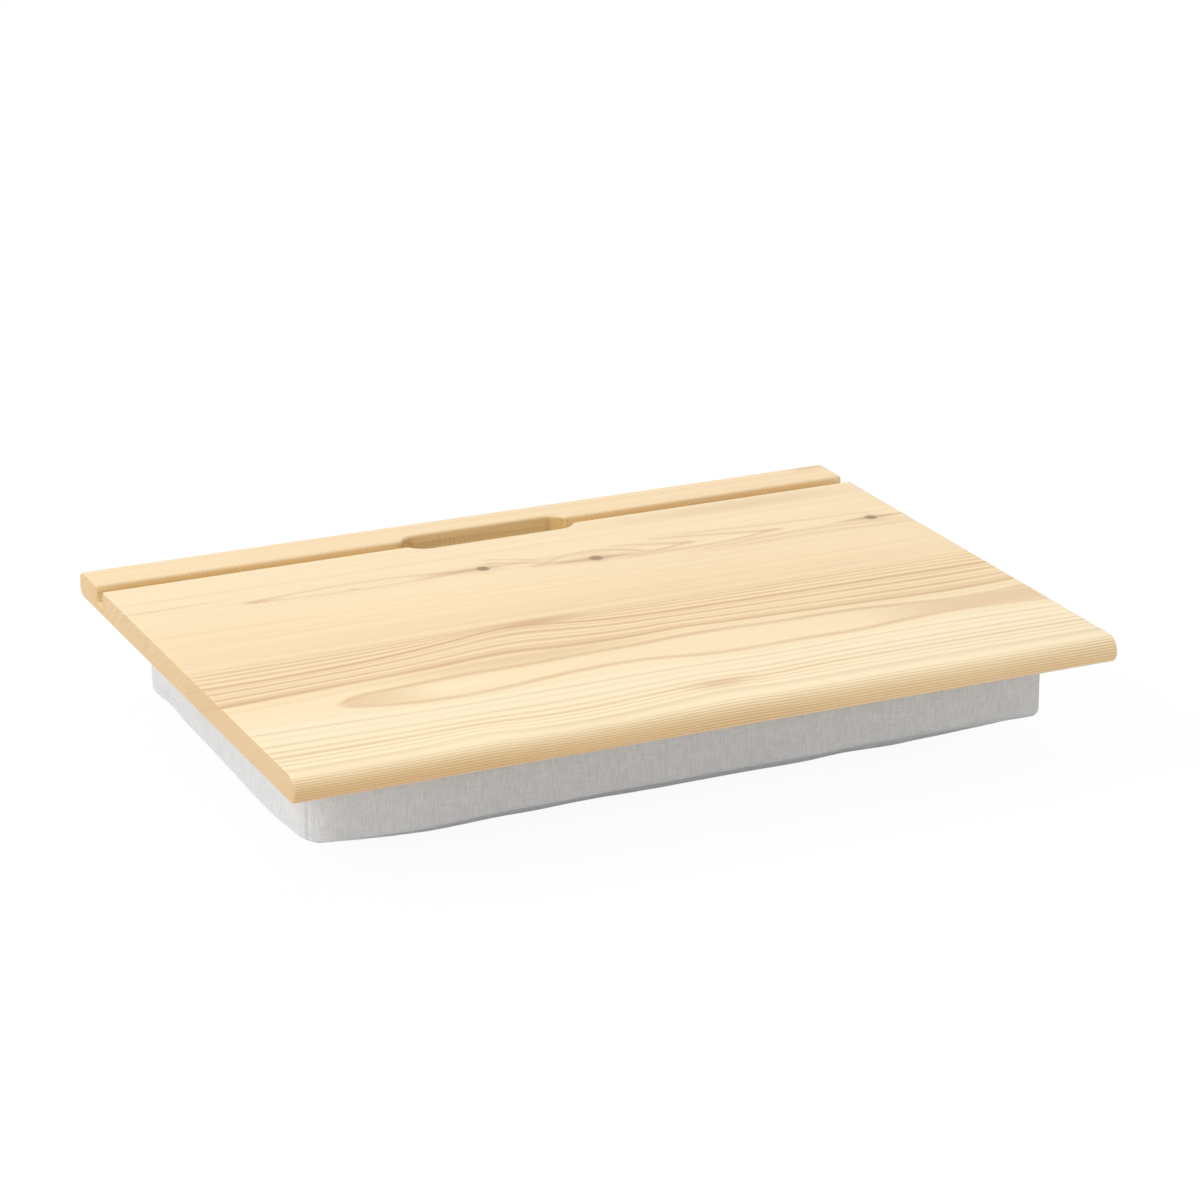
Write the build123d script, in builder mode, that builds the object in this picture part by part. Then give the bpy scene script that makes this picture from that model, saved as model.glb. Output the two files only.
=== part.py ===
from build123d import *
import os

os.makedirs("parts", exist_ok=True)

# Lap tray: a pine board on a box cushion filled with beads.
# Millimetres, +X right, +Y back, +Z up. The origin is on the surface that it stands on, under the
# middle of the board.

# Board: two planks glued edge to edge, with a routed tablet slot
board_length = 450.0
board_depth = 330.0
board_thickness = 14.0
overall_height = 70.0
front_plank_depth = 156.0
front_top_round = 8.0
front_bottom_round = 5.5
back_round = 6.0
end_easing = 1.0
slot_width = 10.0
slot_depth = 9.0
slot_setback = 34.5
slot_lip_round = 1.5
recess_length = 101.0
recess_width = 24.0
recess_depth = 10.0
recess_throat_round = 3.0
cut_overrun = 5.0

# Hook and loop strips between the board and the cushion
strip_length = 80.0
strip_width = 20.0
strip_selvedge = 1.5
strip_margin = 22.0
hook_tape = 0.5
hook_pile = 1.1
loop_tape = 0.6
loop_pile = 0.8

# Cushion cover: a box cushion with a crowned belly, set in from the board's edges
end_overhang = 18.0
front_overhang = 31.0
back_overhang = 47.0
cushion_corner_round = 20.0
cover_wall = 0.8
belly_depth = 20.0
belly_end_reach = 118.0
belly_side_reach = 76.0
side_draw_in = 2.5
shoulder_depth = 7.0
shoulder_draw_in = 3.0

# Bag of beads inside the cover
bag_wall = 0.4
bag_clearance = 0.3
bead_clearance = 0.3

# Zip along the back of the cover
zip_end_margin = 67.0
zip_window = 10.0
zip_tape_margin = 1.4
zip_tape_thickness = 0.5
zip_tape_end = 12.0
zip_tape_gap = 2.0
tooth_pitch = 3.5
tooth_head_width = 1.4
tooth_neck_width = 1.0
tooth_reach = 0.7
tooth_shoulder = 0.3
tooth_root = 1.6
tooth_height = 1.6
stop_length = 2.5
stop_gap = 0.3
slider_length = 11.0
slider_front_flare = 0.7
slider_wall = 0.9
slider_flange = 0.9
slider_clearance = 0.3
slider_post_length = 3.2
slider_post_width = 1.4
slider_post_setback = 1.0
slider_corner_round = 1.5
slider_edge_bevel = 0.3
bail_length = 7.2
bail_width = 1.6
bail_bar = 1.1
bail_room = 1.9
bail_round = 1.4
pull_length = 24.0
pull_width = 5.6
pull_thickness = 1.0
pull_bar = 1.2
pull_eye_length = 5.0
pull_eye_width = 2.6
pull_hole_diameter = 2.4
pull_corner_round = 1.5
pull_edge_bevel = 0.25

# Place of the zip in the height of the back, from the belly's seam up
zip_height_share = 0.4

# Places worked out from the sizes above
board_underside = overall_height - board_thickness
glue_line = front_plank_depth - board_depth / 2
slot_centre = board_depth / 2 - slot_setback
cushion_length = board_length - 2 * end_overhang
cushion_depth = board_depth - front_overhang - back_overhang
cushion_centre_y = (front_overhang - back_overhang) / 2
cushion_top = board_underside - hook_tape - hook_pile - loop_tape - loop_pile
top_panel_underside = cushion_top - cover_wall
shoulder_height = top_panel_underside - shoulder_depth
zip_height = belly_depth + (top_panel_underside - belly_depth) * zip_height_share
zip_opening = cushion_length - 2 * zip_end_margin
zip_tape_width = zip_height - belly_depth - zip_tape_gap / 2 - zip_tape_margin
bag_seam_height = zip_height + zip_window / 2
cover_back = cushion_centre_y + cushion_depth / 2
corner_tangent_y = cushion_depth / 2 - cushion_corner_round
strip_x = cushion_length / 2 - shoulder_draw_in - strip_margin - strip_length / 2
strip_y = cushion_depth / 2 - shoulder_draw_in - strip_margin - strip_width / 2
zip_tape_y = cover_back - cover_wall - zip_tape_thickness / 2
slider_inside_y = zip_tape_y - zip_tape_thickness / 2 - slider_clearance - slider_wall
slider_face_y = zip_tape_y + zip_tape_thickness / 2 + tooth_height + slider_clearance + slider_wall
bag_back_inset = cover_back - slider_inside_y + bag_clearance
zip_end = zip_opening / 2
tooth_foot = zip_tape_gap / 2 + tooth_root
slider_tail_width = 2 * (tooth_foot + slider_clearance + slider_flange)
slider_front = -zip_end + 2 * stop_gap + stop_length
slider_tail = slider_front + slider_length
post_start = slider_front + slider_post_setback
post_end = post_start + slider_post_length
zip_tape_face = zip_tape_y + zip_tape_thickness / 2
slider_channel_top = zip_tape_face + tooth_height + slider_clearance
pull_pivot_y = slider_face_y + bail_room / 2
bail_middle = (slider_front + slider_tail) / 2

# Shoulder profile from the band to the top panel: how far up, and how far drawn in
shoulder_profile_shares = ((0.0, 0.0), (0.6, 0.3), (1.0, 1.0))


def save(sub_part, name):
    """Name one piece and write its file."""
    sub_part.part.label = name
    export_step(sub_part.part, "parts/" + name + ".step")
    print(name, len(sub_part.part.solids()), "solid(s),", round(sub_part.part.volume), "mm3")


# Board: each plank is cut from the whole board at the glue line

def recess_outline(height):
    """Finger recess, a stadium on the slot's centre line."""
    with BuildSketch(Plane.XY.offset(height)) as recess:
        with Locations((0, slot_centre)):
            SlotOverall(recess_length, recess_width)
    return recess.sketch


def slot_outline():
    """Slot from end to end and the finger recess in one, with the throats between them rounded."""
    with BuildSketch(Plane.XY.offset(overall_height)) as opening:
        with Locations((0, slot_centre)):
            Rectangle(board_length + 2 * cut_overrun, slot_width)
            SlotOverall(recess_length, recess_width)
        throats = opening.vertices().filter_by_position(Axis.X, -recess_length / 2, recess_length / 2)
        wall_low, wall_high = slot_centre - slot_width / 2, slot_centre + slot_width / 2
        fillet(throats.filter_by_position(Axis.Y, wall_low, wall_high), recess_throat_round)
    return opening.sketch


with BuildPart() as front_plank:
    with Locations((0, 0, overall_height - board_thickness / 2)):
        Box(board_length, board_depth, board_thickness)
    front_edges = front_plank.edges().filter_by(Axis.X).group_by(Axis.Y)[0]
    fillet(front_edges.sort_by(Axis.Z)[-1], front_top_round)
    bottom_edges = front_plank.edges().filter_by(Axis.X).group_by(Axis.Z)[0]
    fillet(bottom_edges.sort_by(Axis.Y)[0], front_bottom_round)
    fillet(front_plank.faces().filter_by(Axis.X).edges(), end_easing)
    split(bisect_by=Plane.XZ.offset(-glue_line), keep=Keep.TOP)
save(front_plank, "front_plank")

with BuildPart() as rear_plank:
    with Locations((0, 0, overall_height - board_thickness / 2)):
        Box(board_length, board_depth, board_thickness)
    fillet(rear_plank.edges().filter_by(Axis.X).group_by(Axis.Y)[-1], back_round)
    extrude(slot_outline(), amount=-slot_depth, mode=Mode.SUBTRACT)
    recess_floor = recess_outline(overall_height - slot_depth)
    extrude(recess_floor, amount=slot_depth - recess_depth, mode=Mode.SUBTRACT)
    lips = rear_plank.edges().filter_by_position(Axis.Z, overall_height, overall_height)
    lips = lips.filter_by_position(Axis.Y, slot_centre - recess_width / 2, slot_centre + recess_width / 2)
    fillet(lips, slot_lip_round)
    fillet(rear_plank.faces().filter_by(Axis.X).edges(), end_easing)
    split(bisect_by=Plane.XZ.offset(-glue_line), keep=Keep.BOTTOM)
save(rear_plank, "rear_plank")


# Hook and loop strips, a pair near each corner of the cushion

def strip_outline(x, y, height, margin=0.0):
    """A strip's tape, cut square, or its pile inside the selvedge."""
    with BuildSketch(Plane((x, y, height))) as outline:
        Rectangle(strip_length, strip_width - 2 * margin)
    return outline.sketch


for row, y_side in (("front", -1), ("back", 1)):
    for end, x_side in (("left", -1), ("right", 1)):
        x = x_side * strip_x
        y = cushion_centre_y + y_side * strip_y
        with BuildPart() as hook_strip:
            extrude(strip_outline(x, y, board_underside), amount=-hook_tape)
            extrude(strip_outline(x, y, board_underside - hook_tape, strip_selvedge), amount=-hook_pile)
        save(hook_strip, "hook_strip_" + row + "_" + end)
        with BuildPart() as loop_strip:
            extrude(strip_outline(x, y, cushion_top), amount=loop_tape)
            extrude(strip_outline(x, y, cushion_top + loop_tape, strip_selvedge), amount=loop_pile)
        save(loop_strip, "loop_strip_" + row + "_" + end)


# Cushion: one form at several insets makes the cover, the bag and the beads, each inside the other

def cushion_outline(height, inset=0.0, back_inset=0.0, shoulder_share=0.0):
    """Plan of the cushion at one height: a rounded rectangle drawn in between its corners.

    The back stays straight along the zip, and is set in further where the zip stands inside.
    """
    reach = shoulder_draw_in * shoulder_share
    corner_round = cushion_corner_round - inset
    x_end = cushion_length / 2 - inset - reach
    y_end = cushion_depth / 2 - (inset + back_inset) / 2 - reach
    x_tangent = x_end - corner_round
    y_tangent = y_end - corner_round
    with BuildSketch(Plane((0, cushion_centre_y + (inset - back_inset) / 2, height))) as outline:
        with BuildLine():
            ThreePointArc((-x_tangent, -y_end), (0, side_draw_in - y_end), (x_tangent, -y_end))
            RadiusArc((x_tangent, -y_end), (x_end, -y_tangent), -corner_round)
            ThreePointArc((x_end, -y_tangent), (x_end - side_draw_in, 0), (x_end, y_tangent))
            RadiusArc((x_end, y_tangent), (x_tangent, y_end), -corner_round)
            Line((x_tangent, y_end), (-x_tangent, y_end))
            RadiusArc((-x_tangent, y_end), (-x_end, y_tangent), -corner_round)
            ThreePointArc((-x_end, y_tangent), (side_draw_in - x_end, 0), (-x_end, -y_tangent))
            RadiusArc((-x_end, -y_tangent), (-x_tangent, -y_end), -corner_round)
        make_face()
    return outline.sketch


def cushion_block(top, inset=0.0, back_inset=0.0):
    """Straight sides up to the shoulder, and the shoulder drawn in to the top."""
    with BuildPart() as block:
        extrude(cushion_outline(0, inset, back_inset), amount=shoulder_height)
        levels = []
        for up_share, in_share in shoulder_profile_shares:
            height = shoulder_height + (top - shoulder_height) * up_share
            levels.append(cushion_outline(height, inset, back_inset, in_share))
        loft(levels, ruled=True)
    return block.part


def belly_profile(plane, half_size, reach, inset):
    """Underside seen from one side: flat in the middle, then an arc up to the seam at each side."""
    arc_radius = (reach ** 2 + belly_depth ** 2) / (2 * belly_depth)
    flat_half = half_size - reach
    across = reach + cut_overrun
    rise = arc_radius - ((arc_radius - inset) ** 2 - across ** 2) ** 0.5
    right_top = (flat_half + across, overall_height)
    left_top = (-flat_half - across, overall_height)
    with BuildSketch(plane) as profile:
        with BuildLine():
            flat_line = Line((-flat_half, inset), (flat_half, inset))
            right_arc = RadiusArc(flat_line @ 1, (flat_half + across, rise), -(arc_radius - inset))
            left_arc = RadiusArc((-flat_half - across, rise), flat_line @ 0, -(arc_radius - inset))
            Polyline(right_arc @ 1, right_top, left_top, left_arc @ 0)
        make_face()
    return profile.sketch


def belly_form(inset=0.0):
    """Everything above the crowned underside: two long arcs, one along the cushion and one across."""
    across_plane = Plane(origin=(0, cushion_centre_y, 0), x_dir=(1, 0, 0), z_dir=(0, -1, 0))
    along_plane = Plane(origin=(0, cushion_centre_y, 0), x_dir=(0, 1, 0), z_dir=(1, 0, 0))
    end_profile = belly_profile(across_plane, cushion_length / 2, belly_end_reach, inset)
    side_profile = belly_profile(along_plane, cushion_depth / 2, belly_side_reach, inset)
    with BuildPart() as form:
        extrude(end_profile, amount=cushion_length, both=True)
        extrude(side_profile, amount=cushion_length, both=True, mode=Mode.INTERSECT)
    return form.part


cover_block = cushion_block(top_panel_underside)
cover_outside = belly_form()
cover_inside = belly_form(cover_wall)
front_tangent = Plane.XZ.offset(corner_tangent_y - cushion_centre_y)
back_tangent = Plane.XZ.offset(-corner_tangent_y - cushion_centre_y)

with BuildPart() as cover_base:
    add(cover_block)
    add(cover_outside, mode=Mode.INTERSECT)
    add(cover_inside, mode=Mode.SUBTRACT)
save(cover_base, "cover_base")

with BuildPart() as cover_top:
    extrude(cushion_outline(top_panel_underside, shoulder_share=1.0), amount=cover_wall)
save(cover_top, "cover_top")

with BuildPart() as side_band:
    add(cover_block)
    add(cover_inside, mode=Mode.INTERSECT)
    add(cushion_block(top_panel_underside, cover_wall, cover_wall), mode=Mode.SUBTRACT)

with BuildPart() as cover_front:
    add(side_band.part)
    split(bisect_by=front_tangent, keep=Keep.TOP)
save(cover_front, "cover_front")

for end, kept_side in (("left", Keep.BOTTOM), ("right", Keep.TOP)):
    with BuildPart() as cover_end:
        add(side_band.part)
        split(bisect_by=front_tangent, keep=Keep.BOTTOM)
        split(bisect_by=back_tangent, keep=Keep.TOP)
        split(bisect_by=Plane.YZ, keep=kept_side)
    save(cover_end, "cover_" + end)


# Zip plane as seen from behind the tray: x to the viewer's right, y up, z out towards the viewer
def zip_plane(y):
    return Plane(origin=(0, y, zip_height), x_dir=(-1, 0, 0), z_dir=(0, 1, 0))


with BuildSketch(zip_plane(cover_back + cut_overrun)) as zip_window_outline:
    Rectangle(zip_opening, zip_window)

for half, kept_side in (("lower", Keep.BOTTOM), ("upper", Keep.TOP)):
    with BuildPart() as cover_back_half:
        add(side_band.part)
        split(bisect_by=back_tangent, keep=Keep.BOTTOM)
        split(bisect_by=Plane.XY.offset(zip_height), keep=kept_side)
        extrude(zip_window_outline.sketch, amount=-cover_wall - 2 * cut_overrun, mode=Mode.SUBTRACT)
    save(cover_back_half, "cover_back_" + half)

bag_inset = cover_wall + bag_clearance
bag_top = top_panel_underside - bag_clearance


def sealed_form(top, inset, back_inset):
    """Whole stuffed form at one inset, such as the outside or the inside of the bag."""
    with BuildPart() as form:
        add(cushion_block(top, inset, back_inset))
        add(belly_form(inset), mode=Mode.INTERSECT)
    return form.part


bag_outside = sealed_form(bag_top, bag_inset, bag_back_inset)
bag_inside = sealed_form(bag_top - bag_wall, bag_inset + bag_wall, bag_back_inset + bag_wall)
for half, kept_side in (("lower", Keep.BOTTOM), ("upper", Keep.TOP)):
    with BuildPart() as bag_half:
        add(bag_outside)
        add(bag_inside, mode=Mode.SUBTRACT)
        split(bisect_by=Plane.XY.offset(bag_seam_height), keep=kept_side)
    save(bag_half, "bead_bag_" + half)

bead_gap = bag_wall + bead_clearance
with BuildPart() as bead_fill:
    add(sealed_form(bag_top - bead_gap, bag_inset + bead_gap, bag_back_inset + bead_gap))
save(bead_fill, "bead_fill")


# Zip: tapes inside the back wall, teeth and slider showing through its window

for half, up_side in (("lower", -1), ("upper", 1)):
    tape_middle = up_side * (zip_tape_gap + zip_tape_width) / 2
    with BuildPart() as zip_tape:
        with BuildSketch(zip_plane(zip_tape_face)):
            with Locations((0, tape_middle)):
                Rectangle(zip_opening + 2 * zip_tape_end, zip_tape_width)
        extrude(amount=-zip_tape_thickness)
    save(zip_tape, "zip_tape_" + half)

tooth_count = int((2 * zip_end - slider_length / 2 - 2 * stop_gap - 2 * stop_length) / tooth_pitch)
last_tooth = zip_end - stop_length - 2 * stop_gap - tooth_head_width / 2
tooth_outline = (
    (-tooth_neck_width / 2, tooth_foot),
    (-tooth_neck_width / 2, tooth_shoulder),
    (-tooth_head_width / 2, 0),
    (-tooth_head_width / 2, -tooth_reach),
    (tooth_head_width / 2, -tooth_reach),
    (tooth_head_width / 2, 0),
    (tooth_neck_width / 2, tooth_shoulder),
    (tooth_neck_width / 2, tooth_foot),
)
for half, up_side, stagger in (("lower", -1, tooth_pitch / 2), ("upper", 1, 0.0)):
    tooth_places = [(last_tooth - stagger - row * tooth_pitch, 0) for row in range(tooth_count)]
    with BuildPart() as zip_teeth:
        with BuildSketch(zip_plane(zip_tape_face)):
            with Locations(*tooth_places):
                Polygon(*[(across, up_side * up) for across, up in tooth_outline], align=None)
        extrude(amount=tooth_height)
    save(zip_teeth, "zip_teeth_" + half)

stop_middle = zip_end - stop_gap - stop_length / 2
stop_up = (tooth_foot + zip_tape_gap / 2) / 2
with BuildPart() as zip_top_stops:
    with BuildSketch(zip_plane(zip_tape_face)):
        with Locations((-stop_middle, -stop_up), (-stop_middle, stop_up)):
            Rectangle(stop_length, tooth_root)
    extrude(amount=tooth_height)
save(zip_top_stops, "zip_top_stops")

with BuildPart() as zip_bottom_stop:
    with BuildSketch(zip_plane(zip_tape_face)):
        with Locations((stop_middle, 0)):
            Rectangle(stop_length, 2 * tooth_foot)
    extrude(amount=tooth_height)
save(zip_bottom_stop, "zip_bottom_stop")


def slider_outline(y, margin=0.0):
    """Wing of the slider, wide at the throats and narrower at the tail."""
    front_half = slider_tail_width / 2 + slider_front_flare - margin
    tail_half = slider_tail_width / 2 - margin
    flare_end = (slider_front + slider_tail) / 2
    with BuildSketch(zip_plane(y)) as wing:
        Polygon(
            (slider_front, -front_half), (post_end, -front_half), (flare_end, -tail_half),
            (slider_tail, -tail_half), (slider_tail, tail_half), (flare_end, tail_half),
            (post_end, front_half), (slider_front, front_half), align=None)
        if margin == 0:
            fillet(wing.vertices().group_by(Axis.X)[0], slider_corner_round)
            fillet(wing.vertices().group_by(Axis.X)[-1], slider_corner_round)
    return wing.sketch


def bail_outline():
    """Small arch on the slider that the pull hangs in, seen from above."""
    with BuildSketch(Plane.XY.offset(zip_height)) as arch:
        with Locations((-bail_middle, slider_face_y)):
            Rectangle(bail_length, bail_room + bail_bar, align=(Align.CENTER, Align.MIN))
        fillet(arch.vertices().group_by(Axis.Y)[-1], bail_round)
        eye_length = bail_length - 2 * bail_bar
        with Locations((-bail_middle, slider_face_y + bail_room / 2)):
            Rectangle(eye_length, bail_room, mode=Mode.SUBTRACT)
    return arch.sketch


with BuildPart() as zip_slider:
    extrude(slider_outline(slider_channel_top), amount=slider_wall)
    chamfer(zip_slider.faces().sort_by(Axis.Y)[-1].edges(), slider_edge_bevel)
    extrude(slider_outline(slider_inside_y), amount=slider_wall)
    flanges = slider_outline(slider_channel_top) - slider_outline(slider_channel_top, slider_flange)
    extrude(flanges, amount=zip_tape_face + slider_clearance - slider_channel_top)
    with BuildSketch(zip_plane(slider_inside_y)):
        with Locations(((post_start + post_end) / 2, 0)):
            Rectangle(slider_post_length, slider_post_width)
    extrude(amount=slider_channel_top - slider_inside_y)
    extrude(bail_outline(), amount=bail_width / 2, both=True)
save(zip_slider, "zip_slider")

with BuildPart() as zip_pull:
    with BuildSketch(zip_plane(pull_pivot_y - pull_thickness / 2)):
        with Locations((bail_middle - pull_bar / 2, 0)):
            with Locations((pull_length / 2, 0)):
                RectangleRounded(pull_length, pull_width, pull_corner_round)
            with Locations((pull_bar + pull_eye_length / 2, 0)):
                Rectangle(pull_eye_length, pull_eye_width, mode=Mode.SUBTRACT)
            with Locations((pull_length - pull_width / 2, 0)):
                Circle(pull_hole_diameter / 2, mode=Mode.SUBTRACT)
    extrude(amount=pull_thickness)
    for flat_face in zip_pull.faces().filter_by(Axis.Y):
        chamfer(flat_face.outer_wire().edges(), pull_edge_bevel)
save(zip_pull, "zip_pull")
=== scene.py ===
# %% [markdown]
# # A lap tray with a cushion
# The real thing is a pine board on a flat box cushion. The board is two planks glued edge to edge, with a
# tablet slot routed from end to end. It could be drawn from nothing, but the sizes and the joints are
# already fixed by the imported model, so the scene starts by loading that and dresses each piece in place.

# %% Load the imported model
import math
import random

import bmesh
import bpy
from mathutils import Matrix, Vector, noise


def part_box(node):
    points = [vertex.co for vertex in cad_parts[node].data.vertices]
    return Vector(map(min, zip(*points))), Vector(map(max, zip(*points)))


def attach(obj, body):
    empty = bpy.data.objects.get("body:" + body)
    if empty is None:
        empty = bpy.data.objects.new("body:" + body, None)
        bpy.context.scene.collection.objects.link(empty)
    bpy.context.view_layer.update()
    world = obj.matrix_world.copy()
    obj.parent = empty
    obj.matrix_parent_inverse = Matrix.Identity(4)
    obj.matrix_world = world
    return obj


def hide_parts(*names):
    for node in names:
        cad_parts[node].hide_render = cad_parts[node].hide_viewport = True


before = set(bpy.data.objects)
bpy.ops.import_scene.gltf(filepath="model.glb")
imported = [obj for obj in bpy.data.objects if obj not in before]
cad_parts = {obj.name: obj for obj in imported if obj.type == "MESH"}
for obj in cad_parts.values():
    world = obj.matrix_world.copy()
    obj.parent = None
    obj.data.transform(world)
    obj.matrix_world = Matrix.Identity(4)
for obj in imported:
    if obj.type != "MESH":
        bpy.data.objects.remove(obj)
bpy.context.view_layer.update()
MM = 0.001

# %% [markdown]
# ## Camera
# The view is the one of a product picture: a long lens, 25 degrees to the left and 20 degrees down.
# A camera could be aimed with a Track To constraint. Here its three axes are written out from the turn, the
# height above the horizon and a slight roll, because that holds the picture's outline to the pixel.

# %% Camera
TURN, ABOVE, ROLL = math.radians(-24.73), math.radians(19.60), math.radians(-0.17)
CAMERA_PLACE = Vector((-791.2, -1736.3, 751.1)) * MM
CAMERA_LENS = 115.51

back = Vector((math.sin(TURN) * math.cos(ABOVE), -math.cos(TURN) * math.cos(ABOVE), math.sin(ABOVE)))
level = Vector((0, 0, 1)).cross(back).normalized()
upward = back.cross(level)
right = math.cos(ROLL) * level + math.sin(ROLL) * upward
upward = math.cos(ROLL) * upward - math.sin(ROLL) * level
camera = bpy.data.objects.new("camera", bpy.data.cameras.new("camera"))
bpy.context.scene.collection.objects.link(camera)
camera.matrix_world = Matrix.Translation(CAMERA_PLACE) @ Matrix((right, upward, back)).transposed().to_4x4()
camera.data.lens = CAMERA_LENS
camera.data.sensor_width = 36
camera.data.clip_start, camera.data.clip_end = 0.05, 50
bpy.context.scene.camera = camera
print("camera at", tuple(round(v, 4) for v in camera.location))

# %% [markdown]
# ## Small helpers for node trees
# A material is a graph of nodes. Each could be made and wired line by line, but a finish has dozens of
# them, so one helper makes a node and fills its sockets with numbers or links, and another does a sum and
# gives back its output. Helpers for one kind of work come later, where they are first needed.

# %% Node helpers
def node(tree, kind, inputs=None, **settings):
    """One node, from the shader nodes unless its kind says otherwise. Inputs are given by name or number, each
    as a value or as another node's output."""
    made = tree.nodes.new(kind if "Node" in kind else "ShaderNode" + kind)
    for name, value in settings.items():
        setattr(made, name, value)
    for key, value in (inputs or {}).items():
        if isinstance(value, bpy.types.NodeSocket):
            tree.links.new(value, made.inputs[key])
        else:
            made.inputs[key].default_value = value
    return made


def calc(tree, operation, *values, clamp=False):
    """One sum on numbers."""
    return node(tree, "Math", dict(enumerate(values)), operation=operation, use_clamp=clamp).outputs[0]


print("helpers so far:", node.__name__, "and", calc.__name__)

# %% [markdown]
# ## Floor, backdrop and light
# The picture has a pure white ground. More light could burn it out, but that would burn out the pale pine
# too. So the floor answers the camera with plain white through Light Path, and only a small share of its
# true shaded colour is kept, which is the soft shadow under the cushion.

# %% Floor
SHADOW_SHARE = 0.07
FLOOR_HALF, FLOOR_DROP = 6.0, 0.0005
FLOOR_PAINT, FLOOR_GLOW = 0.8, 1.02


def seen_directly(tree):
    """1 where the camera, a reflection or a view through glass meets a surface, and 0 where light does."""
    paths = node(tree, "LightPath").outputs
    seen = calc(tree, "MAXIMUM", paths["Is Camera Ray"], paths["Is Glossy Ray"])
    return calc(tree, "MAXIMUM", seen, paths["Is Transmission Ray"])


floor_mesh = bpy.data.meshes.new("floor")
floor_mesh.from_pydata([(x * FLOOR_HALF, y * FLOOR_HALF, 0) for x, y in ((-1, -1), (1, -1), (1, 1), (-1, 1))],
                       [], [(0, 1, 2, 3)])
floor = bpy.data.objects.new("floor", floor_mesh)
bpy.context.scene.collection.objects.link(floor)
floor.location.z = -FLOOR_DROP
floor_material = bpy.data.materials.new("floor_white")
floor_material.use_nodes = True
floor_tree = floor_material.node_tree
floor_tree.nodes.clear()
white_share = calc(floor_tree, "MULTIPLY", seen_directly(floor_tree), 1 - SHADOW_SHARE)
paint = node(floor_tree, "BsdfDiffuse", {"Color": (FLOOR_PAINT, FLOOR_PAINT, FLOOR_PAINT, 1)}).outputs[0]
white = node(floor_tree, "Emission", {"Color": (1, 1, 1, 1), "Strength": FLOOR_GLOW}).outputs[0]
mixed = node(floor_tree, "MixShader", {0: white_share, 1: paint, 2: white}).outputs[0]
node(floor_tree, "OutputMaterial", {"Surface": mixed})
floor_mesh.materials.append(floor_material)
print("floor:", 2 * FLOOR_HALF, "m across")

# %% [markdown]
# The light comes from high on the left, as the pale end of the board and the grey front of the cushion
# show. One bright lamp would give a hard edge. A wide soft lamp on the left, a wide one overhead and an
# even white room give the same soft shading from every side that the part is looked at from.

# %% Light
ROOM_COLOUR, ROOM_STRENGTH = (0.97, 0.985, 1.0, 1), 0.72
LAMPS = (
    ("lamp_left", (-5.0, 1.4, 3.75), 4.0, 185.0, (1.0, 0.99, 0.975)),
    ("lamp_top", (1.2, -0.6, 6.0), 4.5, 36.0, (1.0, 0.995, 0.98)),
)
AIM_POINT = (0, 0, 0.04)
world = bpy.data.worlds.new("room")
bpy.context.scene.world = world
world.use_nodes = True
room_tree = world.node_tree
room_tree.nodes.clear()
room = node(room_tree, "Background", {"Color": ROOM_COLOUR, "Strength": ROOM_STRENGTH}).outputs[0]
seen_room = node(room_tree, "Background", {"Color": (1, 1, 1, 1), "Strength": 1.0}).outputs[0]
room = node(room_tree, "MixShader", {0: seen_directly(room_tree), 1: room, 2: seen_room}).outputs[0]
node(room_tree, "OutputWorld", {"Surface": room})


def soft_lamp(name, place, size, power, colour):
    """A square lamp aimed at the tray's middle."""
    lamp = bpy.data.lights.new(name, "AREA")
    lamp.shape, lamp.size, lamp.energy, lamp.color = "SQUARE", size, power, colour
    holder = bpy.data.objects.new(name, lamp)
    bpy.context.scene.collection.objects.link(holder)
    aim = Vector(AIM_POINT) - Vector(place)
    holder.matrix_world = Matrix.Translation(place) @ aim.to_track_quat("-Z", "Y").to_matrix().to_4x4()


for lamp in LAMPS:
    soft_lamp(*lamp)
scene = bpy.context.scene
scene.view_settings.view_transform = "Standard"
print("lamps:", [lamp[0] for lamp in LAMPS])

# %% [markdown]
# ## Smooth copies
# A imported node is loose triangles, which would show flat facets along the rounded edges. Its mesh is never
# changed, so a copy is merged into one skin and shaded smooth wherever two faces meet at a shallow angle.

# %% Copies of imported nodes
SHARP_ANGLE = math.radians(32)
MERGE_WITHIN, SLIVER_WITHIN = 0.004, 0.002


def show(name, mesh, material, body, nodes=()):
    """A finished piece: its material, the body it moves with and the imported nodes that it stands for."""
    piece = bpy.data.objects.new(name, mesh)
    bpy.context.scene.collection.objects.link(piece)
    if material is not None:
        mesh.materials.clear()
        mesh.materials.append(material)
    if nodes:
        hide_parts(*nodes)
    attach(piece, body)
    return piece


def smooth_by_angle(mesh, sharp):
    """Smooth shading that stops at edges sharper than the angle."""
    skin = bmesh.new()
    skin.from_mesh(mesh)
    for face in skin.faces:
        face.smooth = True
    for edge in skin.edges:
        edge.smooth = len(edge.link_faces) == 2 and edge.calc_face_angle(0) < sharp
    skin.to_mesh(mesh)
    skin.free()
    return mesh


def merged_copy(node_name):
    """A node's mesh as one closed skin, smooth but for its sharp edges."""
    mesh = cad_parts[node_name].data.copy()
    mesh.name = node_name + "_skin"
    if "custom_normal" in mesh.attributes:
        mesh.attributes.remove(mesh.attributes["custom_normal"])
    skin = bmesh.new()
    skin.from_mesh(mesh)
    bmesh.ops.remove_doubles(skin, verts=skin.verts, dist=MERGE_WITHIN * MM)
    bmesh.ops.dissolve_degenerate(skin, edges=skin.edges, dist=SLIVER_WITHIN * MM)
    skin.to_mesh(mesh)
    skin.free()
    return smooth_by_angle(mesh, SHARP_ANGLE)


print("edges stay sharp above", round(math.degrees(SHARP_ANGLE)), "degrees")

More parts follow.
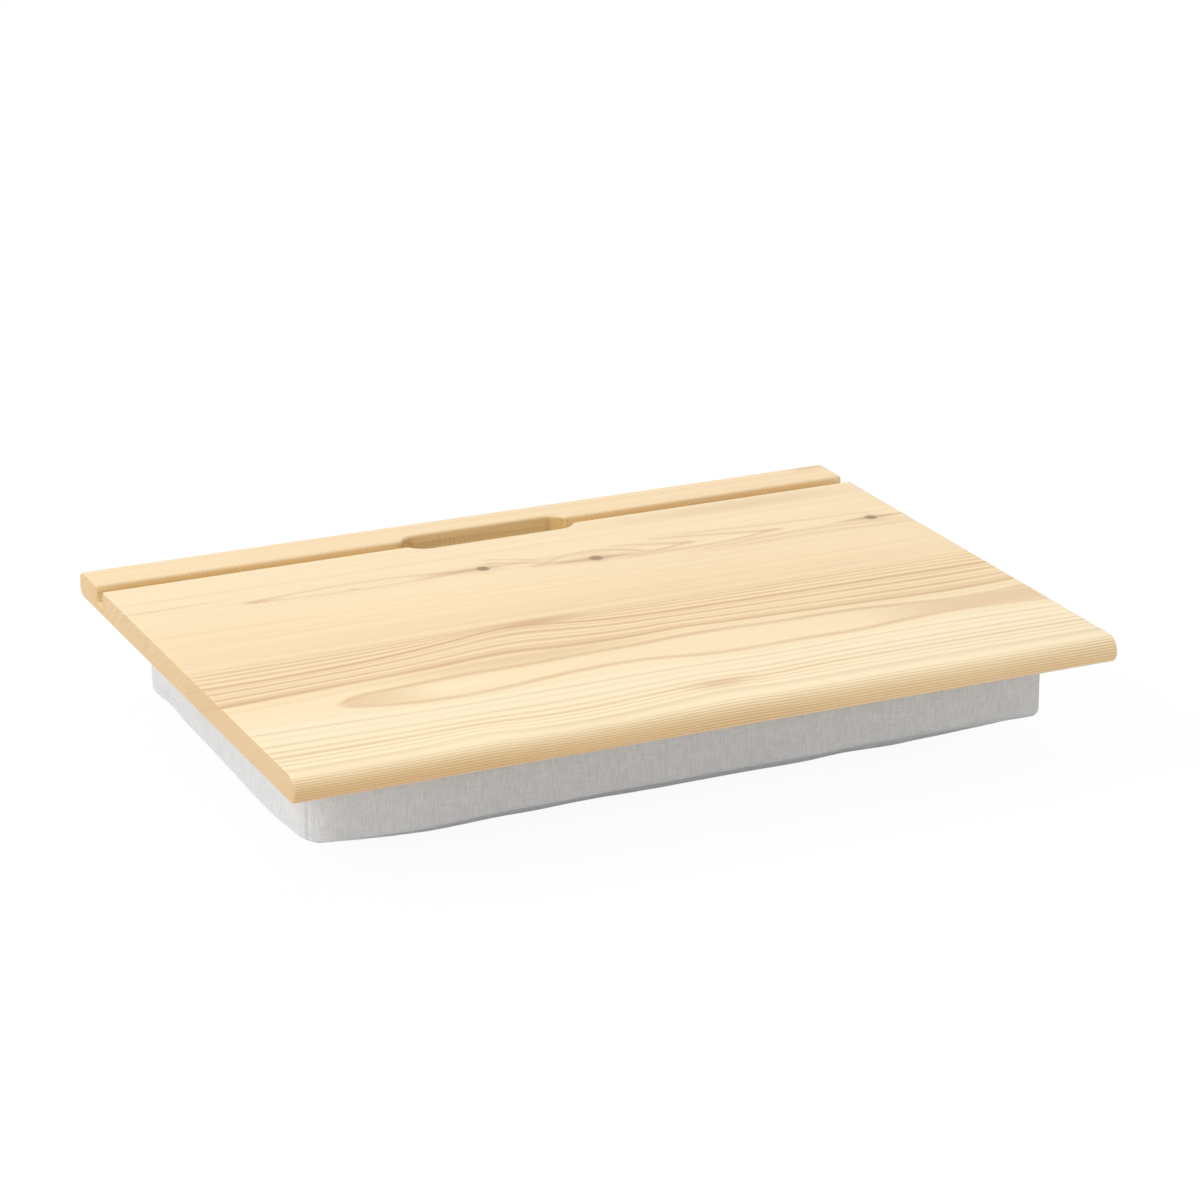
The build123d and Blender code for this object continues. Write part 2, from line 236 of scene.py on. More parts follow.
# %% [markdown]
# ## Pine
# Each plank shows growth rings as long tan lines. On the front plank they run beside a wide tongue of heart
# grain, and on the rear one they close round three small knots. Stock wood textures give even stripes, so
# the lines are drawn as a maker would sketch them: a few guide lines along the board, each a curve of its
# place across the board, and the rings in between are shared out evenly between two guides. All of it is
# made of a few kinds of sum on places, which come first.

# %% Sums on places
BOARD_LENGTH, BOARD_DEPTH, BOARD_TOP = 450.0, 330.0, 70.0
BOARD_END, FRONT_EDGE = BOARD_LENGTH / 2, -BOARD_DEPTH / 2
NOISE_LOW, NOISE_HIGH = 0.3, 0.7


def remap(tree, value, low, high, to_low=0.0, to_high=1.0, smooth=False):
    """A number carried from one range to another, and held at its ends."""
    kind = "SMOOTHSTEP" if smooth else "LINEAR"
    inputs = {"Value": value, "From Min": low, "From Max": high, "To Min": to_low, "To Max": to_high}
    return node(tree, "MapRange", inputs, interpolation_type=kind).outputs["Result"]


def from_noise(tree, value, to_low, to_high):
    """A noise, which seldom leaves the middle of its range, carried to a range of one's own."""
    return remap(tree, value, NOISE_LOW, NOISE_HIGH, to_low, to_high)


def total(tree, values):
    """All the values added up."""
    result = values[0]
    for value in values[1:]:
        result = calc(tree, "ADD", result, value)
    return result


def product(tree, *values):
    """All the values multiplied."""
    result = values[0]
    for value in values[1:]:
        result = calc(tree, "MULTIPLY", result, value)
    return result


def far_squared(tree, *ways):
    """A squared distance. Each way is a place, the middle and the length that counts as 1."""
    squares = []
    for place, middle, unit in ways:
        off = calc(tree, "DIVIDE", calc(tree, "SUBTRACT", place, middle), unit)
        squares.append(product(tree, off, off))
    return total(tree, squares)


def peak(tree, strength, *ways):
    """A soft hill: its full strength in the middle, and almost nothing from two lengths outwards."""
    return product(tree, calc(tree, "EXPONENT", product(tree, far_squared(tree, *ways), -1.0)), strength)


def spot(tree, along, across, x, y, half_along, half_across, strength):
    """A soft oval patch."""
    return peak(tree, strength, (along, x, half_along), (across, y, half_across))


print("board:", BOARD_LENGTH, "by", BOARD_DEPTH, "mm")

# %% [markdown]
# ### Guide lines and drawn lines
# A guide line is a curve widget that is read at each place along the board. A drawn line needs two curves,
# one for its place and one for its strength, and those are the red and green curves of one colour widget.

# %% Lines along the board
def along_share(tree, along):
    """Distance along the board in millimetres, as a share of its length."""
    return calc(tree, "MULTIPLY_ADD", along, 1 / BOARD_LENGTH, 0.5)


def shares_of(points):
    """Places along and across the board, as shares of its length and its depth."""
    return [(x / BOARD_LENGTH + 0.5, y / BOARD_DEPTH + 0.5) for x, y in points]


def across_from(tree, share):
    """A share of the board's depth, as millimetres from its middle."""
    return calc(tree, "MULTIPLY_ADD", share, BOARD_DEPTH, -BOARD_DEPTH / 2)


def set_curve(curve, points):
    """Puts points on a curve widget, which starts with one at each end."""
    for place, value in points[1:-1]:
        curve.points.new(place, value)
    curve.points[0].location = points[0]
    curve.points[-1].location = points[-1]


def guide(tree, along, points):
    """A line along the board: where it lies across the board, in millimetres, at each place along it."""
    curve = node(tree, "FloatCurve", {"Value": along})
    curve.mapping.use_clip = False
    set_curve(curve.mapping.curves[0], shares_of(points))
    curve.mapping.update()
    return across_from(tree, curve.outputs[0])


def line_along(tree, along, across, points, width):
    """One drawn grain line. Each point is its place along and across the board and its strength there."""
    curve = node(tree, "RGBCurve", {"Color": along})
    places = shares_of([(x, y) for x, y, strength in points])
    curve.mapping.use_clip = False
    set_curve(curve.mapping.curves[0], places)
    set_curve(curve.mapping.curves[1], [(place[0], point[2]) for place, point in zip(places, points)])
    curve.mapping.update()
    parts = node(tree, "SeparateColor", {0: curve.outputs[0]}).outputs
    return peak(tree, parts[1], (across, across_from(tree, parts[0]), width))


print("a place 10 mm right of the middle is at", shares_of([(10, 0)])[0])

# %% [markdown]
# ### Rings between two guides
# Between two guides a value rises evenly from one to the next, and a colour ramp over that value draws the
# rings: each one is a stop with its strength between two stops of none.

# %% Rings as a ramp
RING_SPREAD = 1.3


def ring_ramp(tree, value, low, high, lines):
    """Rings as a colour ramp over the shared-out field: each line is its place, half width and strength."""
    ramp = node(tree, "ValToRGB", {0: remap(tree, value, low, high)})
    stops = [(0.0, 0.0)]
    for place, half, strength in lines:
        for shift, level in ((-RING_SPREAD * half, 0.0), (0.0, strength), (RING_SPREAD * half, 0.0)):
            share = (place + shift - low) / (high - low)
            if stops[-1][0] + 0.001 < share < 0.999:
                stops.append((share, level))
    stops.append((1.0, 0.0))
    bar = ramp.color_ramp
    bar.interpolation = "EASE"
    while len(bar.elements) < len(stops):
        bar.elements.new(0.5)
    for element, (share, level) in zip(bar.elements, stops):
        element.position = share
    for element, (share, level) in zip(bar.elements, stops):
        element.color = (level, level, level, 1)
    return ramp.outputs[0]


print("ring spread:", RING_SPREAD)

# %% [markdown]
# ### Wood fibre, a group for both planks
# Between the rings, real pine has fine fibre streaks, short resin ducts and a slow change of tone. Both
# planks use them, so they are one node group, which takes the place on the board in millimetres.

# %% Fibre group
STREAK_STRETCH, DUCT_STRETCH, TONE_STRETCH = (0.012, 1.15, 1.15), (0.09, 1.9, 1.9), (0.004, 0.028, 0.05)
WANDER_STRETCH, PATCH_STRETCH = (0.05, 0.045, 0.05), (0.03, 0.09, 0.09)
STREAK_ROUGHNESS, DUCT_SCALE, DUCT_EDGE, DUCTS_KEPT, PATCH_EDGE = 0.62, 0.55, (0.10, 0.22), (0.72, 0.80), (0.38, 0.62)
RIPPLE_PITCH, RIPPLE_SLANT, RIPPLE_WANDER, RIPPLE_HEIGHT = 3.0, 0.30, 9.0, 0.25


def shader_group(name, inputs, outputs):
    """An empty node group with named sockets. A socket's kind follows from its first value."""
    group = bpy.data.node_groups.new(name, "ShaderNodeTree")
    for way, sockets in (("INPUT", inputs), ("OUTPUT", outputs)):
        for title, value in sockets.items():
            size = 1 if isinstance(value, (int, float)) else len(value)
            kind = {1: "NodeSocketFloat", 3: "NodeSocketVector", 4: "NodeSocketColor"}[size]
            socket = group.interface.new_socket(title, in_out=way, socket_type=kind)
            socket.default_value = value
    return group, group.nodes.new("NodeGroupInput").outputs, group.nodes.new("NodeGroupOutput").inputs


fibre_group, fibre_in, fibre_out = shader_group(
    "wood_fibre",
    {"Place": (0.0, 0.0, 0.0), "Ripple": 0.5},
    {"Streaks": 0.0, "Ducts": 0.0, "Tone": 0.0, "Figure": 0.0, "Height": 0.0})


def calc_vector(tree, operation, *values):
    """One sum on vectors."""
    return node(tree, "VectorMath", dict(enumerate(values)), operation=operation).outputs[0]


def vector_parts(tree, vector):
    """A vector's three numbers."""
    return node(tree, "SeparateXYZ", {0: vector}).outputs


def noise_at(tree, place, detail, scale=1.0, roughness=0.5):
    """Noise read at a place, as one number."""
    inputs = {"Vector": place, "Scale": scale, "Detail": detail, "Roughness": roughness}
    return node(tree, "TexNoise", inputs).outputs[0]


def drawn_out(stretch):
    """The place on the board, squeezed so that a pattern comes out long with the grain."""
    return calc_vector(fibre_group, "MULTIPLY", fibre_in["Place"], stretch)


def long_noise(stretch, detail, roughness=0.5):
    """Noise that runs with the grain."""
    return noise_at(fibre_group, drawn_out(stretch), detail, roughness=roughness)


streaks = long_noise(STREAK_STRETCH, 4.0, STREAK_ROUGHNESS)
duct_inputs = {"Vector": drawn_out(DUCT_STRETCH), "Scale": DUCT_SCALE, "Randomness": 1.0}
ducts = node(fibre_group, "TexVoronoi", duct_inputs).outputs
duct_mask = remap(fibre_group, ducts["Distance"], *DUCT_EDGE, 1.0, 0.0)
duct_pick = remap(fibre_group, node(fibre_group, "SeparateColor", {0: ducts["Color"]}).outputs[0], *DUCTS_KEPT)
parts = vector_parts(fibre_group, fibre_in["Place"])
phase = calc(fibre_group, "MULTIPLY_ADD", parts[1], RIPPLE_SLANT, parts[0])
phase = calc(fibre_group, "MULTIPLY_ADD", long_noise(WANDER_STRETCH, 2.0), RIPPLE_WANDER, phase)
wave = calc(fibre_group, "SINE", product(fibre_group, phase, 2 * math.pi / RIPPLE_PITCH))
patches = remap(fibre_group, long_noise(PATCH_STRETCH, 1.0), *PATCH_EDGE)
figure = product(fibre_group, wave, patches, fibre_in["Ripple"])
for title, value in (
        ("Streaks", streaks),
        ("Ducts", product(fibre_group, duct_mask, duct_pick)),
        ("Tone", long_noise(TONE_STRETCH, 2.0)),
        ("Figure", figure),
        ("Height", calc(fibre_group, "MULTIPLY_ADD", figure, RIPPLE_HEIGHT, streaks))):
    fibre_group.links.new(value, fibre_out[title])
print("fibre group nodes:", len(fibre_group.nodes))

# %% [markdown]
# ### One pine shader for both planks
# The two planks differ only in where their rings lie. What follows is shared: how strongly a ring darkens the wood,
# the paler or warmer tone of the ground, with a partly painted warm light on the rounded front edge, the end grain on
# the two cut ends, painted shade on the routed walls, and a thin satin lacquer. The rings lean as they go down, so
# the same lines run on round the front edge.

# %% Pine colours
def srgb(red, green, blue):
    """A colour read off a screen in 0 to 255, as the linear numbers that a shader takes."""
    linear = []
    for value in (red, green, blue):
        share = value / 255
        linear.append(share / 12.92 if share <= 0.04045 else ((share + 0.055) / 1.055) ** 2.4)
    return (*linear, 1.0)


PINE_PALE = srgb(255, 237, 199)
PINE_GROUND = srgb(248, 220, 175)
PINE_RING = srgb(210, 166, 112)
PINE_DARK = srgb(160, 118, 78)
PINE_END = srgb(218, 183, 131)
# The front edge's golden colour, partly the wood's own and partly a painted warm cast of light.
PINE_EDGE = srgb(252, 214, 157)
RING_FAINT, RING_STRONG, END_RINGS, END_TONE = 1.7, 2.3, 0.5, 0.9
STREAK_SHADE, FIGURE_SHADE, DUCT_SHADE, TONE_SHADE = 0.07, 0.045, 0.16, (0.985, 1.012)
# How far back and down the edge's golden tone reaches, and how much is left at the right end, which is painted
# lighter.
EDGE_TONE_REACH, EDGE_TONE_DROP, EDGE_PAINTED_LIGHT_RIGHT = (10.0, 6.0), (0.5, 8.0), 0.5


def blend_colour(tree, share, first, second, way="MIX"):
    """Two colours mixed by a share."""
    return node(tree, "Mix", {0: share, 6: first, 7: second}, data_type="RGBA", blend_type=way).outputs[2]


def object_place(tree):
    """The place on the object in millimetres."""
    return calc_vector(tree, "MULTIPLY", node(tree, "TexCoord").outputs["Object"], (1000.0, 1000.0, 1000.0))


def brightened(tree, colour, factor):
    """A colour with its three parts multiplied by one value."""
    grey = node(tree, "CombineColor", {part: factor for part in range(3)}).outputs[0]
    return blend_colour(tree, 1.0, colour, grey, way="MULTIPLY")


def front_edge_tone_and_light(tree, parts):
    """How far the rounded front edge takes its golden tone, from its top down and less to the right. The tone is
    partly the wood's own and partly a painted warm cast of light, and its thinning to the right paints that end
    lighter.
    """
    return product(tree, remap(tree, parts[1], *[FRONT_EDGE + reach for reach in EDGE_TONE_REACH]),
                   remap(tree, parts[2], *[BOARD_TOP - drop for drop in EDGE_TONE_DROP]),
                   remap(tree, parts[0], -BOARD_END, BOARD_END, 1.0, EDGE_PAINTED_LIGHT_RIGHT))


print("pine ground:", [round(value, 3) for value in PINE_GROUND])

# %% [markdown]
# The walls of the slot and the recess get painted shade: darker than the planed top, a little warmer, and in dark and
# pale streaks that follow the fibres. In the slot, away from the recess, it deepens further down. The two ends of the
# recess are painted paler, as painted light, the right end most, since its wall faces the lamp on the left.

# %% Routed walls
ROUTED_SHADE_LOW, ROUTED_SHADE_HIGH = (0.44, 0.42, 0.35, 1.0), (0.88, 0.86, 0.76, 1.0)
ROUTED_SHADE_TINT = (1.0, 0.98, 0.88, 1.0)
SLOT_MIDDLE, WALL_REACH, RECESS_END = 130.0, 12.0, 49.0
WALL_TOP, WALL_BOTTOM, SLOT_DEEP, SLOT_SHADE, END_GRAIN_SHARE = (0.8, 2.2), (12.0, 11.5), (2.4, 4.0), 0.4, 0.4
WALL_STREAK_EDGE = (0.34, 0.60)
RECESS_PAINTED_LIGHT_RIGHT_END, RECESS_PAINTED_LIGHT_LEFT_END = (-0.1, -0.4, 1.0), (0.1, 0.4, 0.6)


def shaded_routed_walls(tree, colour, parts, turned, end_share, streaks):
    """The wood's colour, with painted shade on the routed walls and painted light on the recess ends that face the
    lamp. Turned says how far a wall faces to the right.
    """
    def below_top(depths, *levels):
        return remap(tree, parts[2], *[BOARD_TOP - depth for depth in depths], *levels)

    off = calc(tree, "ABSOLUTE", calc(tree, "SUBTRACT", parts[1], SLOT_MIDDLE))
    wall = product(tree, remap(tree, off, WALL_REACH + 1.0, WALL_REACH), below_top(WALL_TOP), below_top(WALL_BOTTOM))
    # Painted shade: a warmer cast on every routed wall.
    colour = blend_colour(tree, wall, colour, blend_colour(tree, 1.0, colour, ROUTED_SHADE_TINT, way="MULTIPLY"))
    in_recess = remap(tree, calc(tree, "ABSOLUTE", parts[0]), RECESS_END + 4.0, RECESS_END)
    # Painted shade in the slot, darker further down; in the recess the whole wall is shaded.
    deep_in_slot = below_top(SLOT_DEEP, 0.0, SLOT_SHADE)
    wall = product(tree, wall, remap(tree, end_share, 0.0, 1.0, 1.0, END_GRAIN_SHARE),
                   calc(tree, "MAXIMUM", in_recess, deep_in_slot))
    raised = remap(tree, streaks, *WALL_STREAK_EDGE)
    # Painted light: the recess ends are paler, the right end most, since its wall faces the lamp.
    for low, high, level in (RECESS_PAINTED_LIGHT_RIGHT_END, RECESS_PAINTED_LIGHT_LEFT_END):
        raised = calc(tree, "MAXIMUM", raised, remap(tree, turned, low, high, 0.0, level))
    # The painted shade of the walls, in dark and pale streaks along the fibres.
    wall_shade = blend_colour(tree, raised, ROUTED_SHADE_LOW, ROUTED_SHADE_HIGH)
    return blend_colour(tree, wall, colour, blend_colour(tree, 1.0, colour, wall_shade, way="MULTIPLY"))


print("routed walls:", WALL_REACH, "mm to each side of the slot's middle,", RECESS_END, "mm along from the centre")

# %% [markdown]
# Now the parts come together: the ground, the rings on it, the fibre, the painted shade of the routed walls, and the
# same rings and fibre again in the gloss and the relief.

# %% Pine finish
END_FACING, RING_GLOSS, RING_HEIGHT = (0.55, 0.85), (0.46, 0.36), 0.5


def place_group(tree, group, **values):
    """A group placed in a material or in another group. An underscore stands for a space in a name."""
    return node(tree, "Group", {name.replace("_", " "): value for name, value in values.items()},
                node_tree=group).outputs


def finish_material(name, **constants):
    """A new material, its node tree and the inputs of its shader, with plain numbers on the shader."""
    material = bpy.data.materials.new(name)
    material.use_nodes = True
    tree = material.node_tree
    tree.nodes.clear()
    shader = node(tree, "BsdfPrincipled", {title.replace("_", " "): value for title, value in constants.items()})
    node(tree, "OutputMaterial", {"Surface": shader.outputs[0]})
    return material, tree, shader.inputs


def relief(tree, height, strength, distance):
    """A normal from a height."""
    inputs = {"Height": height, "Strength": strength, "Distance": distance}
    return node(tree, "Bump", inputs).outputs["Normal"]


def vector_from(tree, *parts):
    """A vector from its numbers."""
    return node(tree, "CombineXYZ", dict(enumerate(parts))).outputs[0]


def pine_material(name, lean, rings, ripple):
    """Pine with its own rings. The rings function takes the tree, the place along and across, in mm."""
    material, tree, shader = finish_material(
        name, Roughness=0.42, Specular_IOR_Level=0.35, Coat_Weight=0.12, Coat_Roughness=0.3)
    parts = vector_parts(tree, object_place(tree))
    across = calc(tree, "MULTIPLY_ADD", calc(tree, "SUBTRACT", parts[2], BOARD_TOP), lean, parts[1])
    fibre = place_group(tree, fibre_group, Place=vector_from(tree, parts[0], across, parts[2]), Ripple=ripple)
    wavered = calc(tree, "ADD", across, calc(tree, "SUBTRACT", fibre["Streaks"], 0.5))
    ring, deep, pale = rings(tree, parts[0], along_share(tree, parts[0]), wavered, across)

    turned = vector_parts(tree, node(tree, "TexCoord").outputs["Normal"])[0]
    end_share = remap(tree, calc(tree, "ABSOLUTE", turned), *END_FACING)
    ring = product(tree, ring, remap(tree, end_share, 0.0, 1.0, 1.0, END_RINGS))
    colour = blend_colour(tree, pale, PINE_GROUND, PINE_PALE)
    # The golden front edge, partly painted light.
    colour = blend_colour(tree, front_edge_tone_and_light(tree, parts), colour, PINE_EDGE)
    colour = blend_colour(tree, product(tree, end_share, END_TONE), colour, PINE_END)
    faded = product(tree, ring, from_noise(tree, fibre["Tone"], -RING_FAINT, -RING_STRONG))
    colour = blend_colour(tree, calc(tree, "SUBTRACT", 1.0, calc(tree, "EXPONENT", faded)), colour, PINE_RING)
    colour = blend_colour(tree, calc(tree, "MINIMUM", deep, 1.0), colour, PINE_DARK)
    colour = blend_colour(tree, product(tree, fibre["Ducts"], DUCT_SHADE), colour, PINE_DARK)
    shade = calc(tree, "MULTIPLY_ADD", from_noise(tree, fibre["Streaks"], -0.5, 0.5), STREAK_SHADE, 1.0)
    shade = calc(tree, "MULTIPLY_ADD", fibre["Figure"], FIGURE_SHADE, shade)
    shade = product(tree, shade, from_noise(tree, fibre["Tone"], *TONE_SHADE))
    colour = brightened(tree, colour, shade)
    colour = shaded_routed_walls(tree, colour, parts, turned, end_share, fibre["Streaks"])
    tree.links.new(colour, shader["Base Color"])
    tree.links.new(remap(tree, ring, 0.0, 1.0, *RING_GLOSS), shader["Roughness"])
    height = calc(tree, "MULTIPLY_ADD", ring, RING_HEIGHT, fibre["Height"])
    tree.links.new(relief(tree, height, strength=0.25, distance=0.00012), shader["Normal"])
    return material


print("a full ring covers the ground by up to", round(1 - math.exp(-RING_STRONG), 2))

# %% [markdown]
# ### Rings of the front plank
# Nine guide lines cross it from the glue joint to the rounded front edge. The fourth and fifth are the
# upper and lower edges of the tongue, which close to a point near the left end. Below the last guide the
# rings are even and close, as on the rounded edge.

# %% Front plank
FRONT_GUIDES = (
    ((-225, -9), (225, -9)),
    ((-225, -36.5), (-176, -35.5), (-126, -31), (-88, -23.5), (-63, -17.5), (-48, -16.3), (-28, -20.5),
     (-8, -25.5), (20, -28.8), (60, -30.3), (150, -30.9), (225, -31.5)),
    ((-225, -63), (-188, -60), (-151, -57.8), (-122, -56), (-101, -54), (-78, -51.4), (-60, -51.6),
     (-42, -54.4), (-20, -56.2), (5, -56.2), (27, -54.8), (56, -57), (100, -59.6), (137, -61.5),
     (175, -63.4), (200, -63.2), (225, -61.3)),
    ((-225, -83.6), (-182, -84.3), (-173, -83.6), (-161, -77.5), (-138, -74.2), (-101, -71.2), (-63, -71),
     (-38, -69.6), (0, -68), (20, -66.4), (45, -66.2), (75, -67.8), (125, -69), (150, -72.4), (169, -75.3),
     (194, -75.9), (225, -73.2)),
    ((-225, -85.6), (-182, -85.4), (-173, -86.2), (-163, -89.6), (-145, -94.6), (-117, -97.8), (-88, -96.2),
     (-63, -92.4), (-45, -90), (-10, -89.6), (5, -92), (19, -95), (37, -96.8), (81, -96.5), (112, -96.8),
     (137, -94), (162, -91.8), (187, -92.4), (225, -96.2)),
    ((-225, -105), (-180, -106.8), (-126, -109), (-70, -108.6), (0, -107.8), (49, -109.4), (124, -106.6),
     (225, -109)),
    ((-225, -137.5), (-170, -138), (-113, -137.6), (-76, -140.2), (-26, -136.5), (4, -133.4), (16, -133.2),
     (36, -135.6), (74, -133.4), (150, -132.6), (225, -133)),
    ((-225, -153.5), (-160, -152.8), (-132, -149.8), (-118, -149), (-100, -152.6), (-60, -153.6),
     (-20, -149.4), (10, -146.2), (40, -148.2), (100, -147.6), (225, -148)),
    ((-225, -206), (225, -206)),
)
UPPER_LINES = ((0.14, 0.05, 0.14), (0.33, 0.06, 0.38), (0.52, 0.06, 0.48), (0.74, 0.07, 0.50), (1.0, 0.085, 1.0),
               (1.14, 0.05, 0.40), (1.31, 0.07, 0.58), (1.50, 0.05, 0.20), (1.64, 0.07, 0.58), (1.84, 0.06, 0.34))
MIDDLE_LINES = ((2.0, 0.11, 1.0), (2.42, 0.10, 0.10), (3.0, 0.11, 0.0), (4.5, 0.2, 0.06))
LOWER_LINES = ((5.0, 0.07, 0.26), (5.25, 0.05, 0.12), (5.53, 0.06, 0.26), (5.78, 0.06, 0.28), (6.0, 0.09, 0.40),
               (6.30, 0.09, 0.26), (6.62, 0.09, 0.20), (7.0, 0.10, 0.22))
FRONT_RAMPS = ((-0.2, 2.0, UPPER_LINES), (1.8, 4.8, MIDDLE_LINES), (4.8, 7.2, LOWER_LINES))
FRONT_SHADES = ((-36, -15.5, 20, 4.0, 0.55), (-60, -63, 60, 6.5, 0.26), (12, -136, 16, 5.0, 0.34),
                (0, -13, 190, 7.0, 0.10))
EDGE_RINGS, EDGE_RING_RANGE, EDGE_RING_EDGE = 15, (7.14, 7.3, 0.0, 0.46), (-0.2, 1.0)
TONGUE_WIDTH, TONGUE_SIDES, TONGUE_OPEN = 2.1, (0.52, 0.42), (2.5, 9.0)
HEART_SHADE, HEART_LEFT, HEART_RIGHT = 0.34, (-172, -118), (120, 176)
RING_FADE, FADE_STRETCH = (0.57, 1.04), 0.012
# Painted shade on the lower part of the rounded front edge, strongest at the left end and gone at x = 100.
NOSE_PAINTED_SHADE, NOSE_PAINTED_SHADE_LEFT = (7.35, 7.75), (-BOARD_END, 100, 0.26, 0.0)
DARK_MARK, PALE_PATCH = (-36, -15.5, 8, 1.6, 0.10), (-112, -84, 36, 8, 0.7)
PALE_BANDS, PALE_STOPS = ((1.9, 2.6, 0.0, 0.35), (4.0, 4.6, 0.0, 0.45)), (7.3, 7.7, 0.0, 0.8)


def front_rings(tree, x, along, across, straight):
    """Rings, dark marks, pale bands and painted shade on the rounded front edge of the front plank."""
    guides = [guide(tree, along, points) for points in FRONT_GUIDES]
    field = total(tree, [remap(tree, across, first, second) for first, second in zip(guides, guides[1:])])
    fade = noise_at(tree, vector_from(tree, product(tree, x, FADE_STRETCH), field), 1.0)
    edge = calc(tree, "SINE", product(tree, field, 2 * math.pi * EDGE_RINGS))
    edge = product(tree, remap(tree, edge, *EDGE_RING_EDGE), remap(tree, field, *EDGE_RING_RANGE))
    open_share = remap(tree, calc(tree, "SUBTRACT", guides[3], guides[4]), *TONGUE_OPEN)
    sides = [peak(tree, strength, (across, middle, TONGUE_WIDTH))
             for middle, strength in zip(guides[3:5], TONGUE_SIDES)]
    ring = total(tree, [ring_ramp(tree, field, *part) for part in FRONT_RAMPS])
    ring = total(tree, [ring, edge, product(tree, total(tree, sides), open_share)])
    ring = product(tree, ring, from_noise(tree, fade, *RING_FADE))

    shades = [spot(tree, x, straight, *shade) for shade in FRONT_SHADES]
    inside = product(tree, remap(tree, field, 3.0, 3.25, smooth=True), remap(tree, field, 4.0, 3.75, smooth=True))
    heart = total(tree, [remap(tree, x, *HEART_LEFT, HEART_SHADE, 0.0),
                         remap(tree, x, *HEART_RIGHT, 0.0, HEART_SHADE)])
    shades.append(product(tree, inside, open_share, heart))
    # Painted shade on the lower rounded front edge, stronger to the left.
    shades.append(product(tree, remap(tree, field, *NOSE_PAINTED_SHADE), remap(tree, x, *NOSE_PAINTED_SHADE_LEFT)))
    ring = calc(tree, "ADD", ring, total(tree, shades))
    deep = spot(tree, x, straight, *DARK_MARK)
    pale = total(tree, [remap(tree, field, *band) for band in PALE_BANDS])
    pale = calc(tree, "SUBTRACT", pale, remap(tree, field, *PALE_STOPS), clamp=True)
    pale = calc(tree, "MAXIMUM", pale, spot(tree, x, straight, *PALE_PATCH))
    return ring, deep, pale


pine_front = pine_material("pine_front", lean=2.5, rings=front_rings, ripple=0.25)
front_plank = show("front_plank_pine", merged_copy("front_plank"), pine_front, "board", ["front_plank"])
print("front plank triangles:", len(front_plank.data.polygons))

# %% [markdown]
# ### Rings and knots of the rear plank
# This plank is plainer: three small round knots, a long thin eye to the left of the first one, and rings
# that close to points on the right of the second. Each is one drawn line with its own strength along it.

